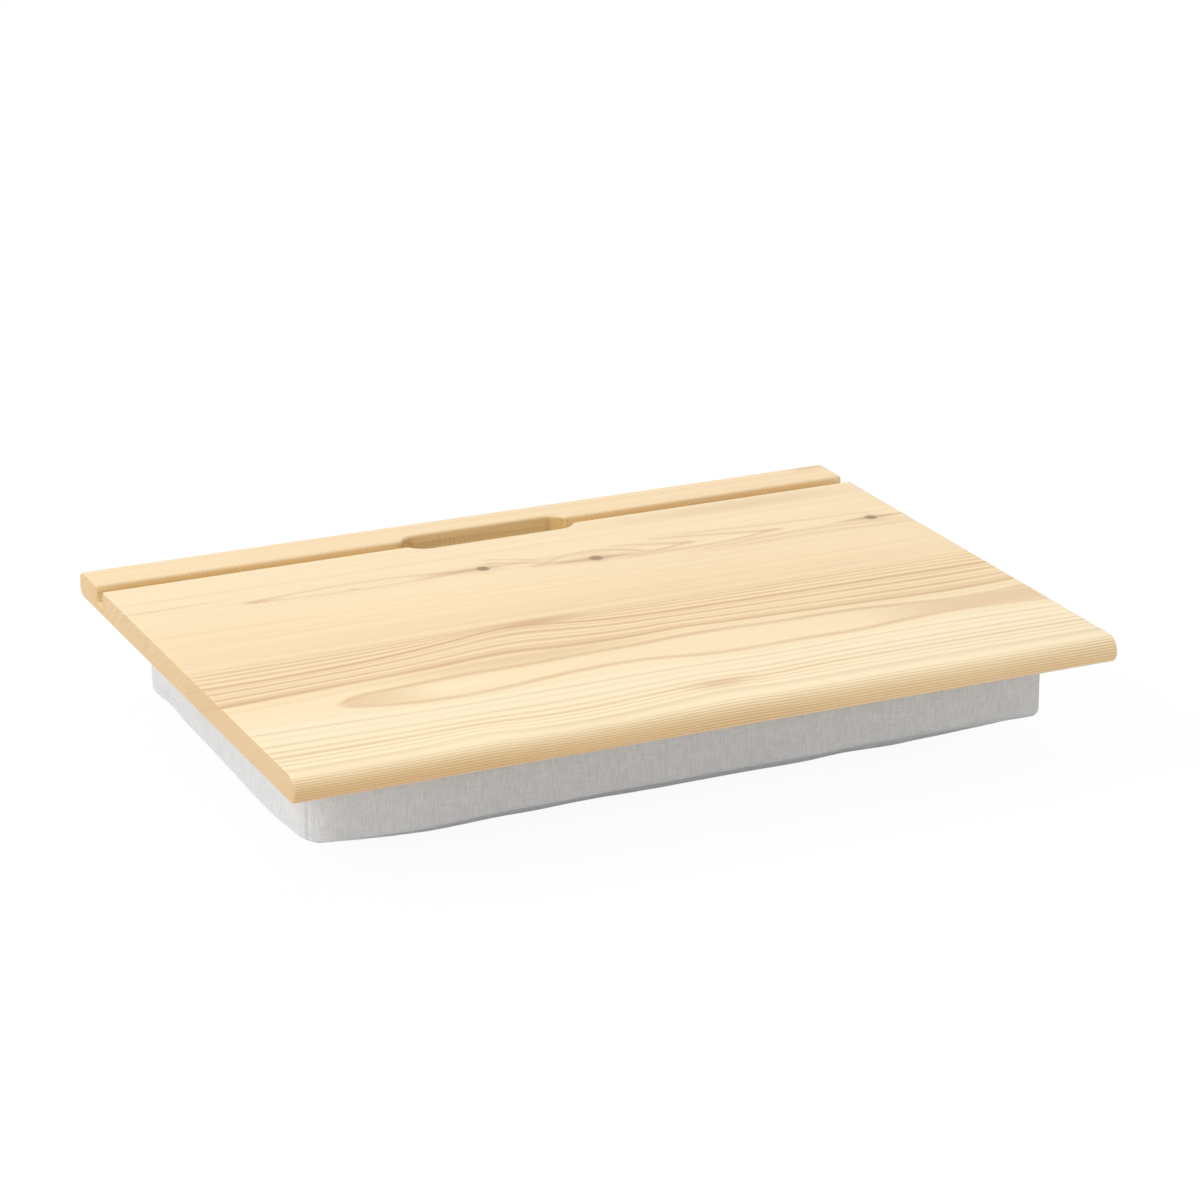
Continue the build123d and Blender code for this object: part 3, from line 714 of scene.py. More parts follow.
# %% Rear plank
REAR_LINES = (
    (1.1, ((-225, 84, 0.30), (-200, 84.4, 0.34), (-172, 85.6, 0.16), (-140, 87, 0.0), (225, 87, 0.0))),
    (1.0, ((-225, 75.6, 0.0), (-164, 75.6, 0.0), (-158, 76.2, 0.5), (-140, 78.6, 0.36), (-110, 80.9, 0.34),
           (-80, 80.4, 0.34), (-60, 78.2, 0.42), (-46, 75.4, 0.55), (-32, 74.4, 0.6), (-27, 74, 0.3),
           (225, 74, 0.0))),
    (1.0, ((-225, 75.2, 0.0), (-164, 75.2, 0.0), (-158, 74.6, 0.5), (-140, 72.6, 0.30), (-110, 70.9, 0.32),
           (-80, 70.6, 0.32), (-60, 71.4, 0.42), (-46, 72.8, 0.55), (-32, 73.6, 0.6), (-27, 74, 0.3),
           (225, 74, 0.0))),
    (1.1, ((-225, 74, 0.0), (-26, 79.4, 0.0), (-20, 79.6, 0.5), (-10, 76, 0.46), (0, 71.6, 0.42), (12, 67.6, 0.30),
           (24, 64.6, 0.2), (34, 64, 0.0), (225, 64, 0.0))),
    (0.9, ((-225, 86, 0.0), (-28, 87, 0.0), (-20, 86.4, 0.34), (-8, 81.4, 0.4), (2, 76.6, 0.3), (10, 74, 0.0),
           (225, 74, 0.0))),
    (1.3, ((-225, 66, 0.0), (-6, 65, 0.0), (4, 66.4, 0.36), (14, 71.4, 0.34), (28, 75, 0.26), (44, 74, 0.4),
           (56, 69.6, 0.62), (62, 66, 0.66), (65, 63.8, 0.1), (225, 60, 0.0))),
    (1.2, ((-225, 66, 0.0), (2, 66.6, 0.1), (14, 64.2, 0.44), (26, 63.2, 0.8), (36, 63.2, 0.9), (48, 62.6, 0.72),
           (56, 62, 0.40), (66, 63, 0.1), (225, 60, 0.0))),
    (1.2, ((-225, 86, 0.0), (40, 81, 0.0), (56, 77.4, 0.26), (75, 71.4, 0.42), (88, 67.6, 0.6), (95, 66.4, 0.5),
           (100, 66, 0.0), (225, 66, 0.0))),
    (1.2, ((-225, 58, 0.0), (50, 60, 0.0), (64, 60.4, 0.30), (75, 62.2, 0.36), (88, 65.4, 0.5), (95, 66.4, 0.4),
           (100, 66, 0.0), (225, 66, 0.0))),
    (1.3, ((-225, 86, 0.0), (60, 84, 0.0), (81, 79.6, 0.28), (104, 74.4, 0.40), (125, 69.6, 0.54), (140, 66.4, 0.56),
           (150, 65.4, 0.2), (156, 65, 0.0), (225, 64, 0.0))),
    (1.2, ((-225, 56, 0.0), (40, 57.6, 0.0), (60, 57.4, 0.34), (90, 57.8, 0.34), (112, 59.2, 0.34), (128, 61.8, 0.46),
           (140, 64.6, 0.5), (150, 65.4, 0.2), (156, 65, 0.0), (225, 64, 0.0))),
    (1.3, ((-225, 84, 0.0), (60, 86, 0.0), (110, 79.6, 0.24), (140, 76, 0.26), (170, 73.6, 0.24), (206, 71.4, 0.16),
           (225, 71, 0.1))),
    (1.3, ((-225, 52, 0.0), (70, 52, 0.0), (104, 53.4, 0.26), (140, 56.8, 0.32), (170, 58, 0.30), (196, 55.6, 0.26),
           (225, 53.8, 0.2))),
    (1.3, ((-225, 46, 0.0), (90, 48, 0.0), (130, 50.8, 0.20), (165, 52, 0.26), (196, 49, 0.22), (225, 47.6, 0.16))),
)
REAR_SPREAD, REAR_STRENGTH, EVEN_SHADE = 1.3, 0.72, 0.09
REAR_SHADES = (
    (-152, 75.4, 10, 1.8, 0.34), (-46, 74.6, 16, 2.8, 0.46), (20, 65, 16, 3.0, 0.22), (48, 63.6, 13, 2.6, 0.26),
    (214, 161, 9, 5.0, 0.50), (-102, 72.2, 2.6, 0.9, 0.6), (199, 62.2, 16, 1.8, 0.6), (212, 61.4, 12, 1.3, 0.6),
    (150, 114, 70, 8.0, 0.22), (0, 2, 260, 10.0, 0.06),
)
KNOTS = ((-27.0, 73.7, 4.2), (35.6, 63.7, 4.5), (204.4, 62.0, 4.1))
KNOT_DARK, KNOT_EDGE, HALO_DARK, HALO_REACH = 0.78, (0.5, 1.15), 0.22, (2.2, 1.5)
EVEN_STRETCH, EVEN_EDGE = (0.002, 0.16), (0.46, 0.72)
REAR_PALE, REAR_PALE_STOPS = (30.0, 80.0, 0.05, 0.30), (128.0, 134.0, 0.0, 0.30)


def knot(tree, x, straight, knot_x, knot_y, radius):
    """A small round knot with a soft halo."""
    far = calc(tree, "SQRT", far_squared(tree, (x, knot_x, 1.0), (straight, knot_y, 1.0)))
    body = remap(tree, far, *[radius * share for share in KNOT_EDGE], KNOT_DARK, 0.0, smooth=True)
    halo = spot(tree, x, straight, knot_x, knot_y, *[radius * share for share in HALO_REACH], HALO_DARK)
    return calc(tree, "ADD", body, halo)


def rear_rings(tree, x, along, across, straight):
    """Rings, knots and pale bands of the rear plank."""
    drawn = [line_along(tree, along, across, points, width * REAR_SPREAD) for width, points in REAR_LINES]
    even_places = [product(tree, place, stretch) for place, stretch in zip((x, across), EVEN_STRETCH)]
    even = noise_at(tree, vector_from(tree, *even_places), 3.0)
    shades = [product(tree, remap(tree, even, *EVEN_EDGE), EVEN_SHADE)]
    shades += [spot(tree, x, straight, *shade) for shade in REAR_SHADES]
    ring = calc(tree, "MULTIPLY_ADD", total(tree, drawn), REAR_STRENGTH, total(tree, shades))
    deep = total(tree, [knot(tree, x, straight, *place) for place in KNOTS])
    pale = remap(tree, straight, *REAR_PALE)
    pale = calc(tree, "SUBTRACT", pale, remap(tree, straight, *REAR_PALE_STOPS), clamp=True)
    return ring, deep, pale


pine_rear = pine_material("pine_rear", lean=1.4, rings=rear_rings, ripple=1.0)
rear_plank = show("rear_plank_pine", merged_copy("rear_plank"), pine_rear, "board", ["rear_plank"])
print("rear plank triangles:", len(rear_plank.data.polygons))

# %% [markdown]
# ## The cushion's form
# The cushion is a box of cloth filled with loose beads: a front panel that wraps both front corners, two
# end panels, a back with a zip, a top that lies flat under the board and a crowned underside. It could be
# a scaled cube with noise, but then its seams would wander. So the whole form is one closed grid whose
# lines run exactly along the seams, and the cloth simulation moves that grid.

# %% Cushion sizes, in millimetres
CUSHION_LENGTH, CUSHION_DEPTH, CUSHION_CENTRE = 414.0, 252.0, -8.0
CORNER_ROUND, FRONT_DRAW_IN, END_DRAW_IN = 20.0, 2.0, 0.3
TOP_LEVEL, TOP_SEAM, TOP_DRAWN_IN = 53.0, 52.4, 3.0
BELLY_DEPTH, END_REACH, SIDE_REACH, BELLY_EASING = 20.0, 118.0, 76.0, 3.0
ZIP_LEVEL, ZIP_HALF, WINDOW_HALF = 32.88, 140.0, 5.0
ROW_LEVELS = (24.2, ZIP_LEVEL - WINDOW_HALF, ZIP_LEVEL, ZIP_LEVEL + WINDOW_HALF, 42.0, 45.6, 49.6)
ROW_DRAWN_IN = (0.0, 0.0, 0.0, 0.0, 0.0, 0.1, 0.9)
FIRST_ROW_SHARE, LEAST_BELOW_SEAM = 0.5, 0.5
ARC_STEPS, LONG_STEPS, WIDE_STEPS = 3, (9, 56, 9), 42
ARC_TURN = 45 // ARC_STEPS
ACROSS = sum(LONG_STEPS) + 2 * ARC_STEPS
DEEP = WIDE_STEPS + 2 * ARC_STEPS
AROUND = 2 * (ACROSS + DEEP)
RIGHT_START, BACK_START = ACROSS + 1, ACROSS + DEEP - ARC_STEPS
LEFT_START, FRONT_START = 2 * ACROSS + DEEP + ARC_STEPS, AROUND - 1
WINDOW_START, WINDOW_STOP = BACK_START + 2 * ARC_STEPS + LONG_STEPS[0], LEFT_START - 2 * ARC_STEPS - LONG_STEPS[2]
WINDOW_LEVELS = (2, 3)
BASE, TOP, FRONT, RIGHT, BACK_LOWER, BACK_UPPER, LEFT, WINDOW = range(8)
print("points round the cushion:", AROUND)

# %% [markdown]
# ### The cushion's plan
# Seen from above, the cushion is a rectangle with round corners, whose front and ends are drawn in a little
# between them. Its points are listed once, in order round the edge, because every layer of the grid uses them.

# %% Points round the cushion
def rim(inset=0.0, back_inset=None):
    """Plan of the cushion as points in order, from the middle of the front left corner."""
    half_x = CUSHION_LENGTH / 2 - inset
    front = -CUSHION_DEPTH / 2 + inset
    rear = CUSHION_DEPTH / 2 - (inset if back_inset is None else back_inset)
    corner = CORNER_ROUND - inset
    flat_x, deep_start, deep_stop = half_x - corner, front + corner, rear - corner

    def arc(centre_x, centre_y, start, stop):
        turns = [math.radians(turn) for turn in range(start, stop, ARC_TURN)]
        return [(centre_x + corner * math.cos(t), centre_y + corner * math.sin(t)) for t in turns]

    def drawn(place, half, most):
        return most * (1 - (place / half) ** 2)

    breaks = (-flat_x, -ZIP_HALF, ZIP_HALF, flat_x)
    along = []
    for start, stop, steps in zip(breaks, breaks[1:], LONG_STEPS):
        along += [start + (stop - start) * step / steps for step in range(steps)]
    along.append(flat_x)
    deep = [deep_start + (deep_stop - deep_start) * step / WIDE_STEPS for step in range(WIDE_STEPS + 1)]
    middle, half_deep = (deep_start + deep_stop) / 2, (deep_stop - deep_start) / 2
    points = arc(-flat_x, deep_start, 225, 270)
    points += [(x, front + drawn(x, flat_x, FRONT_DRAW_IN)) for x in along]
    points += arc(flat_x, deep_start, 270 + ARC_TURN, 360)
    points += [(half_x - drawn(y - middle, half_deep, END_DRAW_IN), y) for y in deep]
    points += arc(flat_x, deep_stop, ARC_TURN, 90)
    points += [(x, rear) for x in reversed(along)]
    points += arc(-flat_x, deep_stop, 90 + ARC_TURN, 180)
    points += [(-half_x + drawn(y - middle, half_deep, END_DRAW_IN), y) for y in reversed(deep)]
    points += arc(-flat_x, deep_start, 180 + ARC_TURN, 225)
    return points


def grid_place(step):
    """Column and row of the flat grids' border at one point round the cushion."""
    if step < ACROSS:
        return step, 0
    if step < ACROSS + DEEP:
        return ACROSS, step - ACROSS
    if step < 2 * ACROSS + DEEP:
        return 2 * ACROSS + DEEP - step, DEEP
    return 0, AROUND - step


print("plan:", [round(max(point[way] for point in rim()), 1) for way in (0, 1)], "mm from the middle")

# %% [markdown]
# ### The crowned underside
# Filled with beads, the cushion is deepest in the middle and rises in long arcs to the seam at each side.
# The two arcs, one along and one across, meet in soft ridges towards the corners. At the seam the real cloth
# waves by a millimetre or two, which is written down as a few soft dips and lifts along the edge.

# %% Heights
FRONT_HANG = ((-207, 0.2), (-196, -1.2), (-183, -1.0), (-171, -0.6), (-149, 0.1), (-126, -0.5), (-95, -1.2),
              (-62, -1.3), (-15, -1.5), (28, -1.9), (72, -1.8), (84, -2.4), (95, -2.9), (120, -2.5), (144, -2.5),
              (165, -3.2), (185, -2.7), (194, -1.1), (207, -0.5))
END_HANG = ((-126, 0.2), (-99, 0.7), (-71, 2.9), (-42, 3.1), (-13, 2.2), (17, 1.3), (48, 0.8), (80, -0.8),
            (110, 0.6), (126, 0.2))
HANG_CELLS = 13
END_HANG_START, END_HANG_LENGTH, END_HANG_HALF, END_HANG_FADE = 187, 20, 110, 12


def belly(x, y, inset=0.0):
    """Height of the underside at one place, measured from the cushion's middle."""
    heights = []
    for place, half, reach in ((x, CUSHION_LENGTH / 2, END_REACH), (y, CUSHION_DEPTH / 2, SIDE_REACH)):
        radius = (reach ** 2 + BELLY_DEPTH ** 2) / (2 * BELLY_DEPTH)
        past = max(abs(place) - (half - reach), 0.0)
        heights.append(radius - math.sqrt(max((radius - inset) ** 2 - past ** 2, 0.0)))
    apart = max(BELLY_EASING - abs(heights[0] - heights[1]), 0.0) / BELLY_EASING
    return max(heights) + apart * apart * BELLY_EASING / 4 * min(max(heights) / BELLY_EASING, 1.0)


def soft_between(table, place):
    """A value read from a table of places, eased from one to the next."""
    for (start, low), (stop, high) in zip(table, table[1:]):
        if place <= stop:
            share = min(max((place - start) / (stop - start), 0.0), 1.0)
            return low + (high - low) * (3 - 2 * share) * share * share
    return table[-1][1]


def hang(x, y):
    """How far the seam at the underside hangs below its even line."""
    end_share = min(max((abs(x) - END_HANG_START) / END_HANG_LENGTH, 0.0), 1.0)
    end_share *= min(max((END_HANG_HALF - abs(y)) / END_HANG_FADE, 0.0), 1.0)
    return (1 - end_share) * soft_between(FRONT_HANG, x) + end_share * soft_between(END_HANG, y)


print("the underside rises to", round(belly(CUSHION_LENGTH / 2, 0), 1), "mm at its seam")

# %% [markdown]
# ### One closed grid
# The underside and the top are flat grids stretched between their borders, and rows of points join them up
# the sides. Each face remembers which panel it belongs to. A map in millimetres is laid on at the same
# time, along and up the sides and plan-wise on the flats, so that the weave follows the cloth.

# %% Flat grids and side panels
def stretched(edge, height):
    """Points of a flat grid between its border, by stretching it inwards along both ways."""
    at = {grid_place(step): edge[step] for step in range(AROUND)}
    points = []
    for row in range(DEEP + 1):
        for column in range(ACROSS + 1):
            if (column, row) in at:
                x, y = at[(column, row)]
                points.append((x, y, height(x, y, 0)))
                continue
            u, v = column / ACROSS, row / DEEP
            sides = ((at[(column, 0)], 1 - v), (at[(column, DEEP)], v), (at[(0, row)], 1 - u),
                     (at[(ACROSS, row)], u), (at[(0, 0)], -(1 - u) * (1 - v)), (at[(ACROSS, 0)], -u * (1 - v)),
                     (at[(0, DEEP)], -(1 - u) * v), (at[(ACROSS, DEEP)], -u * v))
            x = sum(place[0] * share for place, share in sides)
            y = sum(place[1] * share for place, share in sides)
            points.append((x, y, height(x, y, min(column, row, ACROSS - column, DEEP - row))))
    return points


def side_panel(level, step):
    """Which panel a face on the cushion's sides belongs to."""
    if step >= FRONT_START or step < RIGHT_START:
        return FRONT
    if step < BACK_START:
        return RIGHT
    if step >= LEFT_START:
        return LEFT
    if level in WINDOW_LEVELS and WINDOW_START <= step < WINDOW_STOP:
        return WINDOW
    return BACK_UPPER if level >= WINDOW_LEVELS[1] else BACK_LOWER


print("faces along the zip's window:", WINDOW_STOP - WINDOW_START)

# %% [markdown]
# Now the layers are joined up. The underside comes first, then the top, then the rows between them, and each
# face is listed with its four corners, their places on the map and its panel.

# %% Build the grid
def cushion_grid(name, inset=0.0, back_inset=None, top_level=TOP_LEVEL, top_seam=TOP_SEAM):
    """The stuffed form at one inset in millimetres, as a closed mesh with a panel number on each face."""
    border = rim(inset, back_inset)
    top_border = [(x * (1 - TOP_DRAWN_IN / (CUSHION_LENGTH / 2)), y * (1 - TOP_DRAWN_IN / (CUSHION_DEPTH / 2)))
                  for x, y in border]

    def base_height(x, y, depth):
        easing = max(1 - depth / HANG_CELLS, 0.0) ** 1.5
        return max(belly(x, y, inset) - hang(x, y) * easing * (inset == 0.0), inset)

    points = stretched(border, base_height)
    top_first = len(points)
    points += stretched(top_border, lambda x, y, depth: top_seam if depth == 0 else top_level)
    row_first = len(points)
    seam_heights = [base_height(x, y, 0) for x, y in border]
    for level, drawn_in in zip(ROW_LEVELS, ROW_DRAWN_IN):
        for (x, y), seam_height in zip(border, seam_heights):
            share_x, share_y = drawn_in / (CUSHION_LENGTH / 2), drawn_in / (CUSHION_DEPTH / 2)
            if level == ROW_LEVELS[0]:
                height = seam_height + (ROW_LEVELS[1] - seam_height) * FIRST_ROW_SHARE
            else:
                height = min(level, top_seam - LEAST_BELOW_SEAM)
            points.append((x * (1 - share_x), y * (1 - share_y), height))

    def ring(level, step):
        step %= AROUND
        column, row = grid_place(step)
        if level == 0:
            return row * (ACROSS + 1) + column
        if level == len(ROW_LEVELS) + 1:
            return top_first + row * (ACROSS + 1) + column
        return row_first + (level - 1) * AROUND + step

    faces, maps, panels = [], [], []
    for first, panel in ((0, BASE), (top_first, TOP)):
        for row in range(DEEP):
            for column in range(ACROSS):
                start = first + row * (ACROSS + 1) + column
                corners = [start, start + 1, start + ACROSS + 2, start + ACROSS + 1]
                faces.append(corners if panel == TOP else corners[::-1])
                maps.append([(points[corner][0], points[corner][1]) for corner in faces[-1]])
                panels.append(panel)
    reach, lengths = 0.0, {}
    for step in range(FRONT_START, FRONT_START + AROUND + 1):
        lengths[step - FRONT_START] = reach
        here, there = border[step % AROUND], border[(step + 1) % AROUND]
        reach += math.dist(here, there)
    for level in range(len(ROW_LEVELS) + 1):
        for step in range(AROUND):
            faces.append([ring(level, step), ring(level, step + 1), ring(level + 1, step + 1), ring(level + 1, step)])
            turn = (step - FRONT_START) % AROUND
            low, high = points[faces[-1][0]][2], points[faces[-1][3]][2]
            maps.append([(lengths[turn], low), (lengths[turn + 1], low), (lengths[turn + 1], high),
                         (lengths[turn], high)])
            panels.append(side_panel(level, step))
    mesh = bpy.data.meshes.new(name)
    mesh.from_pydata([(x * MM, (y + CUSHION_CENTRE) * MM, z * MM) for x, y, z in points], [], faces)
    mesh.polygons.foreach_set("material_index", panels)
    layer = mesh.uv_layers.new(name="cloth")
    layer.data.foreach_set("uv", [value for face in maps for corner in face for value in corner])
    mesh.polygons.foreach_set("use_smooth", [True] * len(faces))
    return mesh


cushion_mesh = cushion_grid("cushion")
print("cushion grid:", len(cushion_mesh.vertices), "points", len(cushion_mesh.polygons), "faces")

# %% [markdown]
# ### Cloth simulation
# The beads press the cover outwards. The grid becomes cloth with air pressure inside it and no gravity, the
# top held where the board presses on it and the zip held straight. Twenty frames are enough for the sides to
# fill. Each point may move only a little, because the real cover is full but not blown up, and nothing goes
# below the ground or into the board.

# %% Fill the cushion
SWELL_LIMIT = 1.8
CLOTH_FRAMES = 20
CLOTH_SETTINGS = {
    "quality": 6, "mass": 0.3, "tension_stiffness": 25, "compression_stiffness": 25, "shear_stiffness": 10,
    "bending_stiffness": 1.0, "use_pressure": True, "uniform_pressure_force": 1.0, "vertex_group_mass": "held",
}
HELD_WITHIN, BACK_WITHIN = 0.2, 1
ZIP_HELD_PAST, ZIP_HELD_FROM, ZIP_HELD_TO = 6, 24, 44


def held_points(mesh):
    """Points that the board, the ground and the zip keep in place."""
    held = []
    for vertex in mesh.vertices:
        x, y, z = (value / MM for value in vertex.co)
        at_back = y > CUSHION_CENTRE + CUSHION_DEPTH / 2 - BACK_WITHIN
        at_zip = at_back and abs(x) < ZIP_HALF + ZIP_HELD_PAST and ZIP_HELD_FROM < z < ZIP_HELD_TO
        if z > TOP_SEAM - HELD_WITHIN or z < HELD_WITHIN or at_zip:
            held.append(vertex.index)
    return held


def fill_with_pressure(mesh):
    """Runs the cloth and writes the swelled places back into the mesh."""
    holder = bpy.data.objects.new("filling", mesh)
    bpy.context.scene.collection.objects.link(holder)
    rest = [vertex.co.copy() for vertex in mesh.vertices]
    normals = [vertex.normal.copy() for vertex in mesh.vertices]
    group = holder.vertex_groups.new(name="held")
    group.add(held_points(mesh), 1.0, "REPLACE")
    cloth = holder.modifiers.new("cloth", "CLOTH")
    for title, value in CLOTH_SETTINGS.items():
        setattr(cloth.settings, title, value)
    cloth.settings.effector_weights.gravity = 0
    cloth.collision_settings.use_collision = False
    cloth.point_cache.frame_start, cloth.point_cache.frame_end = 1, CLOTH_FRAMES
    for step in range(1, CLOTH_FRAMES + 1):
        bpy.context.scene.frame_set(step)
    filled = holder.evaluated_get(bpy.context.evaluated_depsgraph_get())
    moved = [vertex.co.copy() for vertex in filled.data.vertices]
    holder.modifiers.remove(cloth)
    holder.vertex_groups.clear()
    bpy.context.scene.frame_set(1)
    furthest = 0.0
    for vertex, start, end, normal in zip(mesh.vertices, rest, moved, normals):
        step = end - start
        furthest = max(furthest, step.length)
        step -= normal * min(step.dot(normal), 0.0)
        if step.length > SWELL_LIMIT * MM:
            step *= SWELL_LIMIT * MM / step.length
        place = start + step
        place.z = min(max(place.z, 0.0), TOP_LEVEL * MM)
        vertex.co = place
    bpy.data.objects.remove(holder)
    print("cloth moved up to", round(furthest / MM, 2), "mm before its limit")


fill_with_pressure(cushion_mesh)
print("held points:", len(held_points(cushion_mesh)))

# %% [markdown]
# Filled cloth is never quite even. Slow waves and small puckers are added from noise, which is read at each
# place and pushes the point in or out. The points that are held stay where they are.

# %% Waves in the cloth
SLOW_RIPPLE, QUICK_RIPPLE = 0.6, 0.15
SLOW_WAVE, QUICK_WAVE, QUICK_SHIFT = 38, 13, (7, 3, 5)


def ripple(mesh):
    """Slow waves and small puckers in the filled cloth, except where it is held."""
    held = set(held_points(mesh))
    places = [vertex.co.copy() for vertex in mesh.vertices]
    normals = [vertex.normal.copy() for vertex in mesh.vertices]
    for vertex, place, normal in zip(mesh.vertices, places, normals):
        if vertex.index in held:
            continue
        slow = noise.noise(place / (SLOW_WAVE * MM)) * SLOW_RIPPLE
        quick = noise.noise(place / (QUICK_WAVE * MM) + Vector(QUICK_SHIFT)) * QUICK_RIPPLE
        vertex.co = place + normal * (slow + quick) * MM
        vertex.co.z = min(max(vertex.co.z, 0.0), TOP_LEVEL * MM)


ripple(cushion_mesh)
print("waves of up to", SLOW_RIPPLE + QUICK_RIPPLE, "mm")

# %% [markdown]
# ### From the form to sewn panels
# Where two panels meet, the cloth rolls in over the seam. One subdivision smooths the grid, a narrow strip is
# cut in along both sides of every seam, and the seam itself is pulled in, which leaves a fine valley. Then
# each panel becomes a mesh of its own and gets the thickness of the cloth on its inner side.

# %% Roll the seams and cut the panels
SEAM_STRIP, SEAM_DEPTH, CLOTH_WALL, SEAM_CREASE = 0.9, 0.75, 0.6, 0.75
CLOTH_SHARP = math.radians(50)


def evaluated_mesh(mesh, *modifiers):
    """A plain mesh with the given modifiers worked in. Each is its kind and its settings."""
    holder = bpy.data.objects.new("working", mesh)
    bpy.context.scene.collection.objects.link(holder)
    for kind, settings in modifiers:
        modifier = holder.modifiers.new(kind.lower(), kind)
        for title, value in settings.items():
            setattr(modifier, title, value)
    done = bpy.data.meshes.new_from_object(holder.evaluated_get(bpy.context.evaluated_depsgraph_get()))
    bpy.data.objects.remove(holder)
    return done


def crease_seams(mesh):
    """Keeps the seams crisp when the grid is subdivided."""
    panel_of = {}
    for face in mesh.polygons:
        for key in face.edge_keys:
            panel_of.setdefault(key, set()).add(face.material_index)
    crease = mesh.attributes.new("crease_edge", "FLOAT", "EDGE")
    crease.data.foreach_set("value", [SEAM_CREASE if len(panel_of[edge.key]) > 1 else 0.0 for edge in mesh.edges])


def sewn_panels(mesh, wall, strip=SEAM_STRIP, depth=SEAM_DEPTH):
    """Splits the closed form at its seams into thin closed shells, by panel number."""
    crease_seams(mesh)
    smooth = evaluated_mesh(mesh, ("SUBSURF", {"levels": 1, "render_levels": 1}))
    form = bmesh.new()
    form.from_mesh(smooth)
    for panel in sorted({face.material_index for face in form.faces}):
        faces = [face for face in form.faces if face.material_index == panel]
        bmesh.ops.inset_region(form, faces=faces, thickness=strip * MM, use_boundary=True, use_even_offset=True,
                               use_interpolate=True)
    form.normal_update()
    for vertex in form.verts:
        if len({face.material_index for face in vertex.link_faces}) > 1:
            vertex.co -= vertex.normal * depth * MM
    panels = {}
    for panel in sorted({face.material_index for face in form.faces}):
        part = form.copy()
        bmesh.ops.delete(part, geom=[face for face in part.faces if face.material_index != panel], context="FACES")
        flat = bpy.data.meshes.new("panel")
        for face in part.faces:
            face.material_index = 0
        part.to_mesh(flat)
        part.free()
        panels[panel] = smooth_by_angle(evaluated_mesh(
            flat, ("SOLIDIFY", {"thickness": wall * MM, "offset": -1.0})), CLOTH_SHARP)
    form.free()
    return panels


panels = sewn_panels(cushion_mesh, CLOTH_WALL)
print("panels:", {panel: len(mesh.polygons) for panel, mesh in panels.items()})

# %% [markdown]
# ### Woven cloth, a group for every textile
# Plain weave is two sets of threads that pass over and under each other in turn. An image of weave would
# slide or tile, so it is worked out from the place on the cloth in millimetres: each thread is half a sine
# wave, and a checker of the two sets says which one lies on top. Each thread is numbered and has a tone of its
# own, which changes slowly along it, so single threads show as fine lines.

# %% Weave group
THREAD_STEP, SLUB_STRETCH, ACROSS_SHARE = 1.7, 0.15, 0.4
weave_group, weave_in, weave_out = shader_group(
    "plain_weave",
    {"Place": (0.0, 0.0, 0.0), "Thread": 0.7, "Cross Thread": 0.7, "Cross Share": 0.5},
    {"Height": 0.0, "Slub": 0.0})
place_parts = vector_parts(weave_group, weave_in["Place"])
waves = []
for part, pitch in ((place_parts[0], weave_in["Thread"]), (place_parts[1], weave_in["Cross Thread"])):
    turn = product(weave_group, calc(weave_group, "DIVIDE", part, pitch), math.pi)
    waves.append(calc(weave_group, "SINE", turn))
over = remap(weave_group, product(weave_group, *waves), -0.25, 0.25)
warp_height, weft_height = [calc(weave_group, "ABSOLUTE", wave) for wave in waves]
weft_height = product(weave_group, weft_height, weave_in["Cross Share"])
height = node(weave_group, "Mix", {0: over, 2: weft_height, 3: warp_height}).outputs[0]
slubs = []
for side, pitch, seed in ((0, weave_in["Thread"], 3.0), (1, weave_in["Cross Thread"], 7.0)):
    number = calc(weave_group, "FLOOR", calc(weave_group, "DIVIDE", place_parts[side], pitch))
    moved = vector_from(weave_group, product(weave_group, number, THREAD_STEP),
                        product(weave_group, place_parts[1 - side], SLUB_STRETCH), seed)
    slubs.append(noise_at(weave_group, moved, 0.0))
slub = calc(weave_group, "MULTIPLY_ADD", slubs[1], ACROSS_SHARE, product(weave_group, slubs[0], 1 - ACROSS_SHARE))
weave_group.links.new(height, weave_out["Height"])
weave_group.links.new(slub, weave_out["Slub"])


def woven_material(name, colour, shadow_colour, thread, cross_thread, cross_share, plan=None, depth=0.0002,
                   roughness=0.88, slub_shade=0.07):
    """A cloth. With no plan, the place comes from the piece's own map, or else from two of its axes."""
    material, tree, shader = finish_material(name, Roughness=roughness, Sheen_Weight=0.12, Sheen_Roughness=0.6,
                                             Specular_IOR_Level=0.2)
    if plan is None:
        place = node(tree, "UVMap", uv_map="cloth").outputs[0]
    else:
        axes = vector_parts(tree, object_place(tree))
        place = vector_from(tree, axes[plan[0]], axes[plan[1]])
    weave = place_group(tree, weave_group, Place=place, Thread=thread, Cross_Thread=cross_thread,
                        Cross_Share=cross_share)
    shaded = blend_colour(tree, remap(tree, weave["Height"], 0.0, 0.75), shadow_colour, colour)
    tone = calc(tree, "MULTIPLY_ADD", from_noise(tree, weave["Slub"], -1.0, 1.0), slub_shade, 1.0)
    tree.links.new(brightened(tree, shaded, tone), shader["Base Color"])
    tree.links.new(from_noise(tree, weave["Slub"], roughness - 0.05, roughness + 0.05), shader["Roughness"])
    height = calc(tree, "MULTIPLY_ADD", weave["Slub"], 0.6, weave["Height"])
    tree.links.new(relief(tree, height, strength=0.5, distance=depth), shader["Normal"])
    return material


print("weave group nodes:", len(weave_group.nodes))

# %% [markdown]
# ### The cover
# The cloth is a pale, almost white cotton with fine upright threads, which show on the front as faint lines.
# It is matte, with a little sheen from its nap.

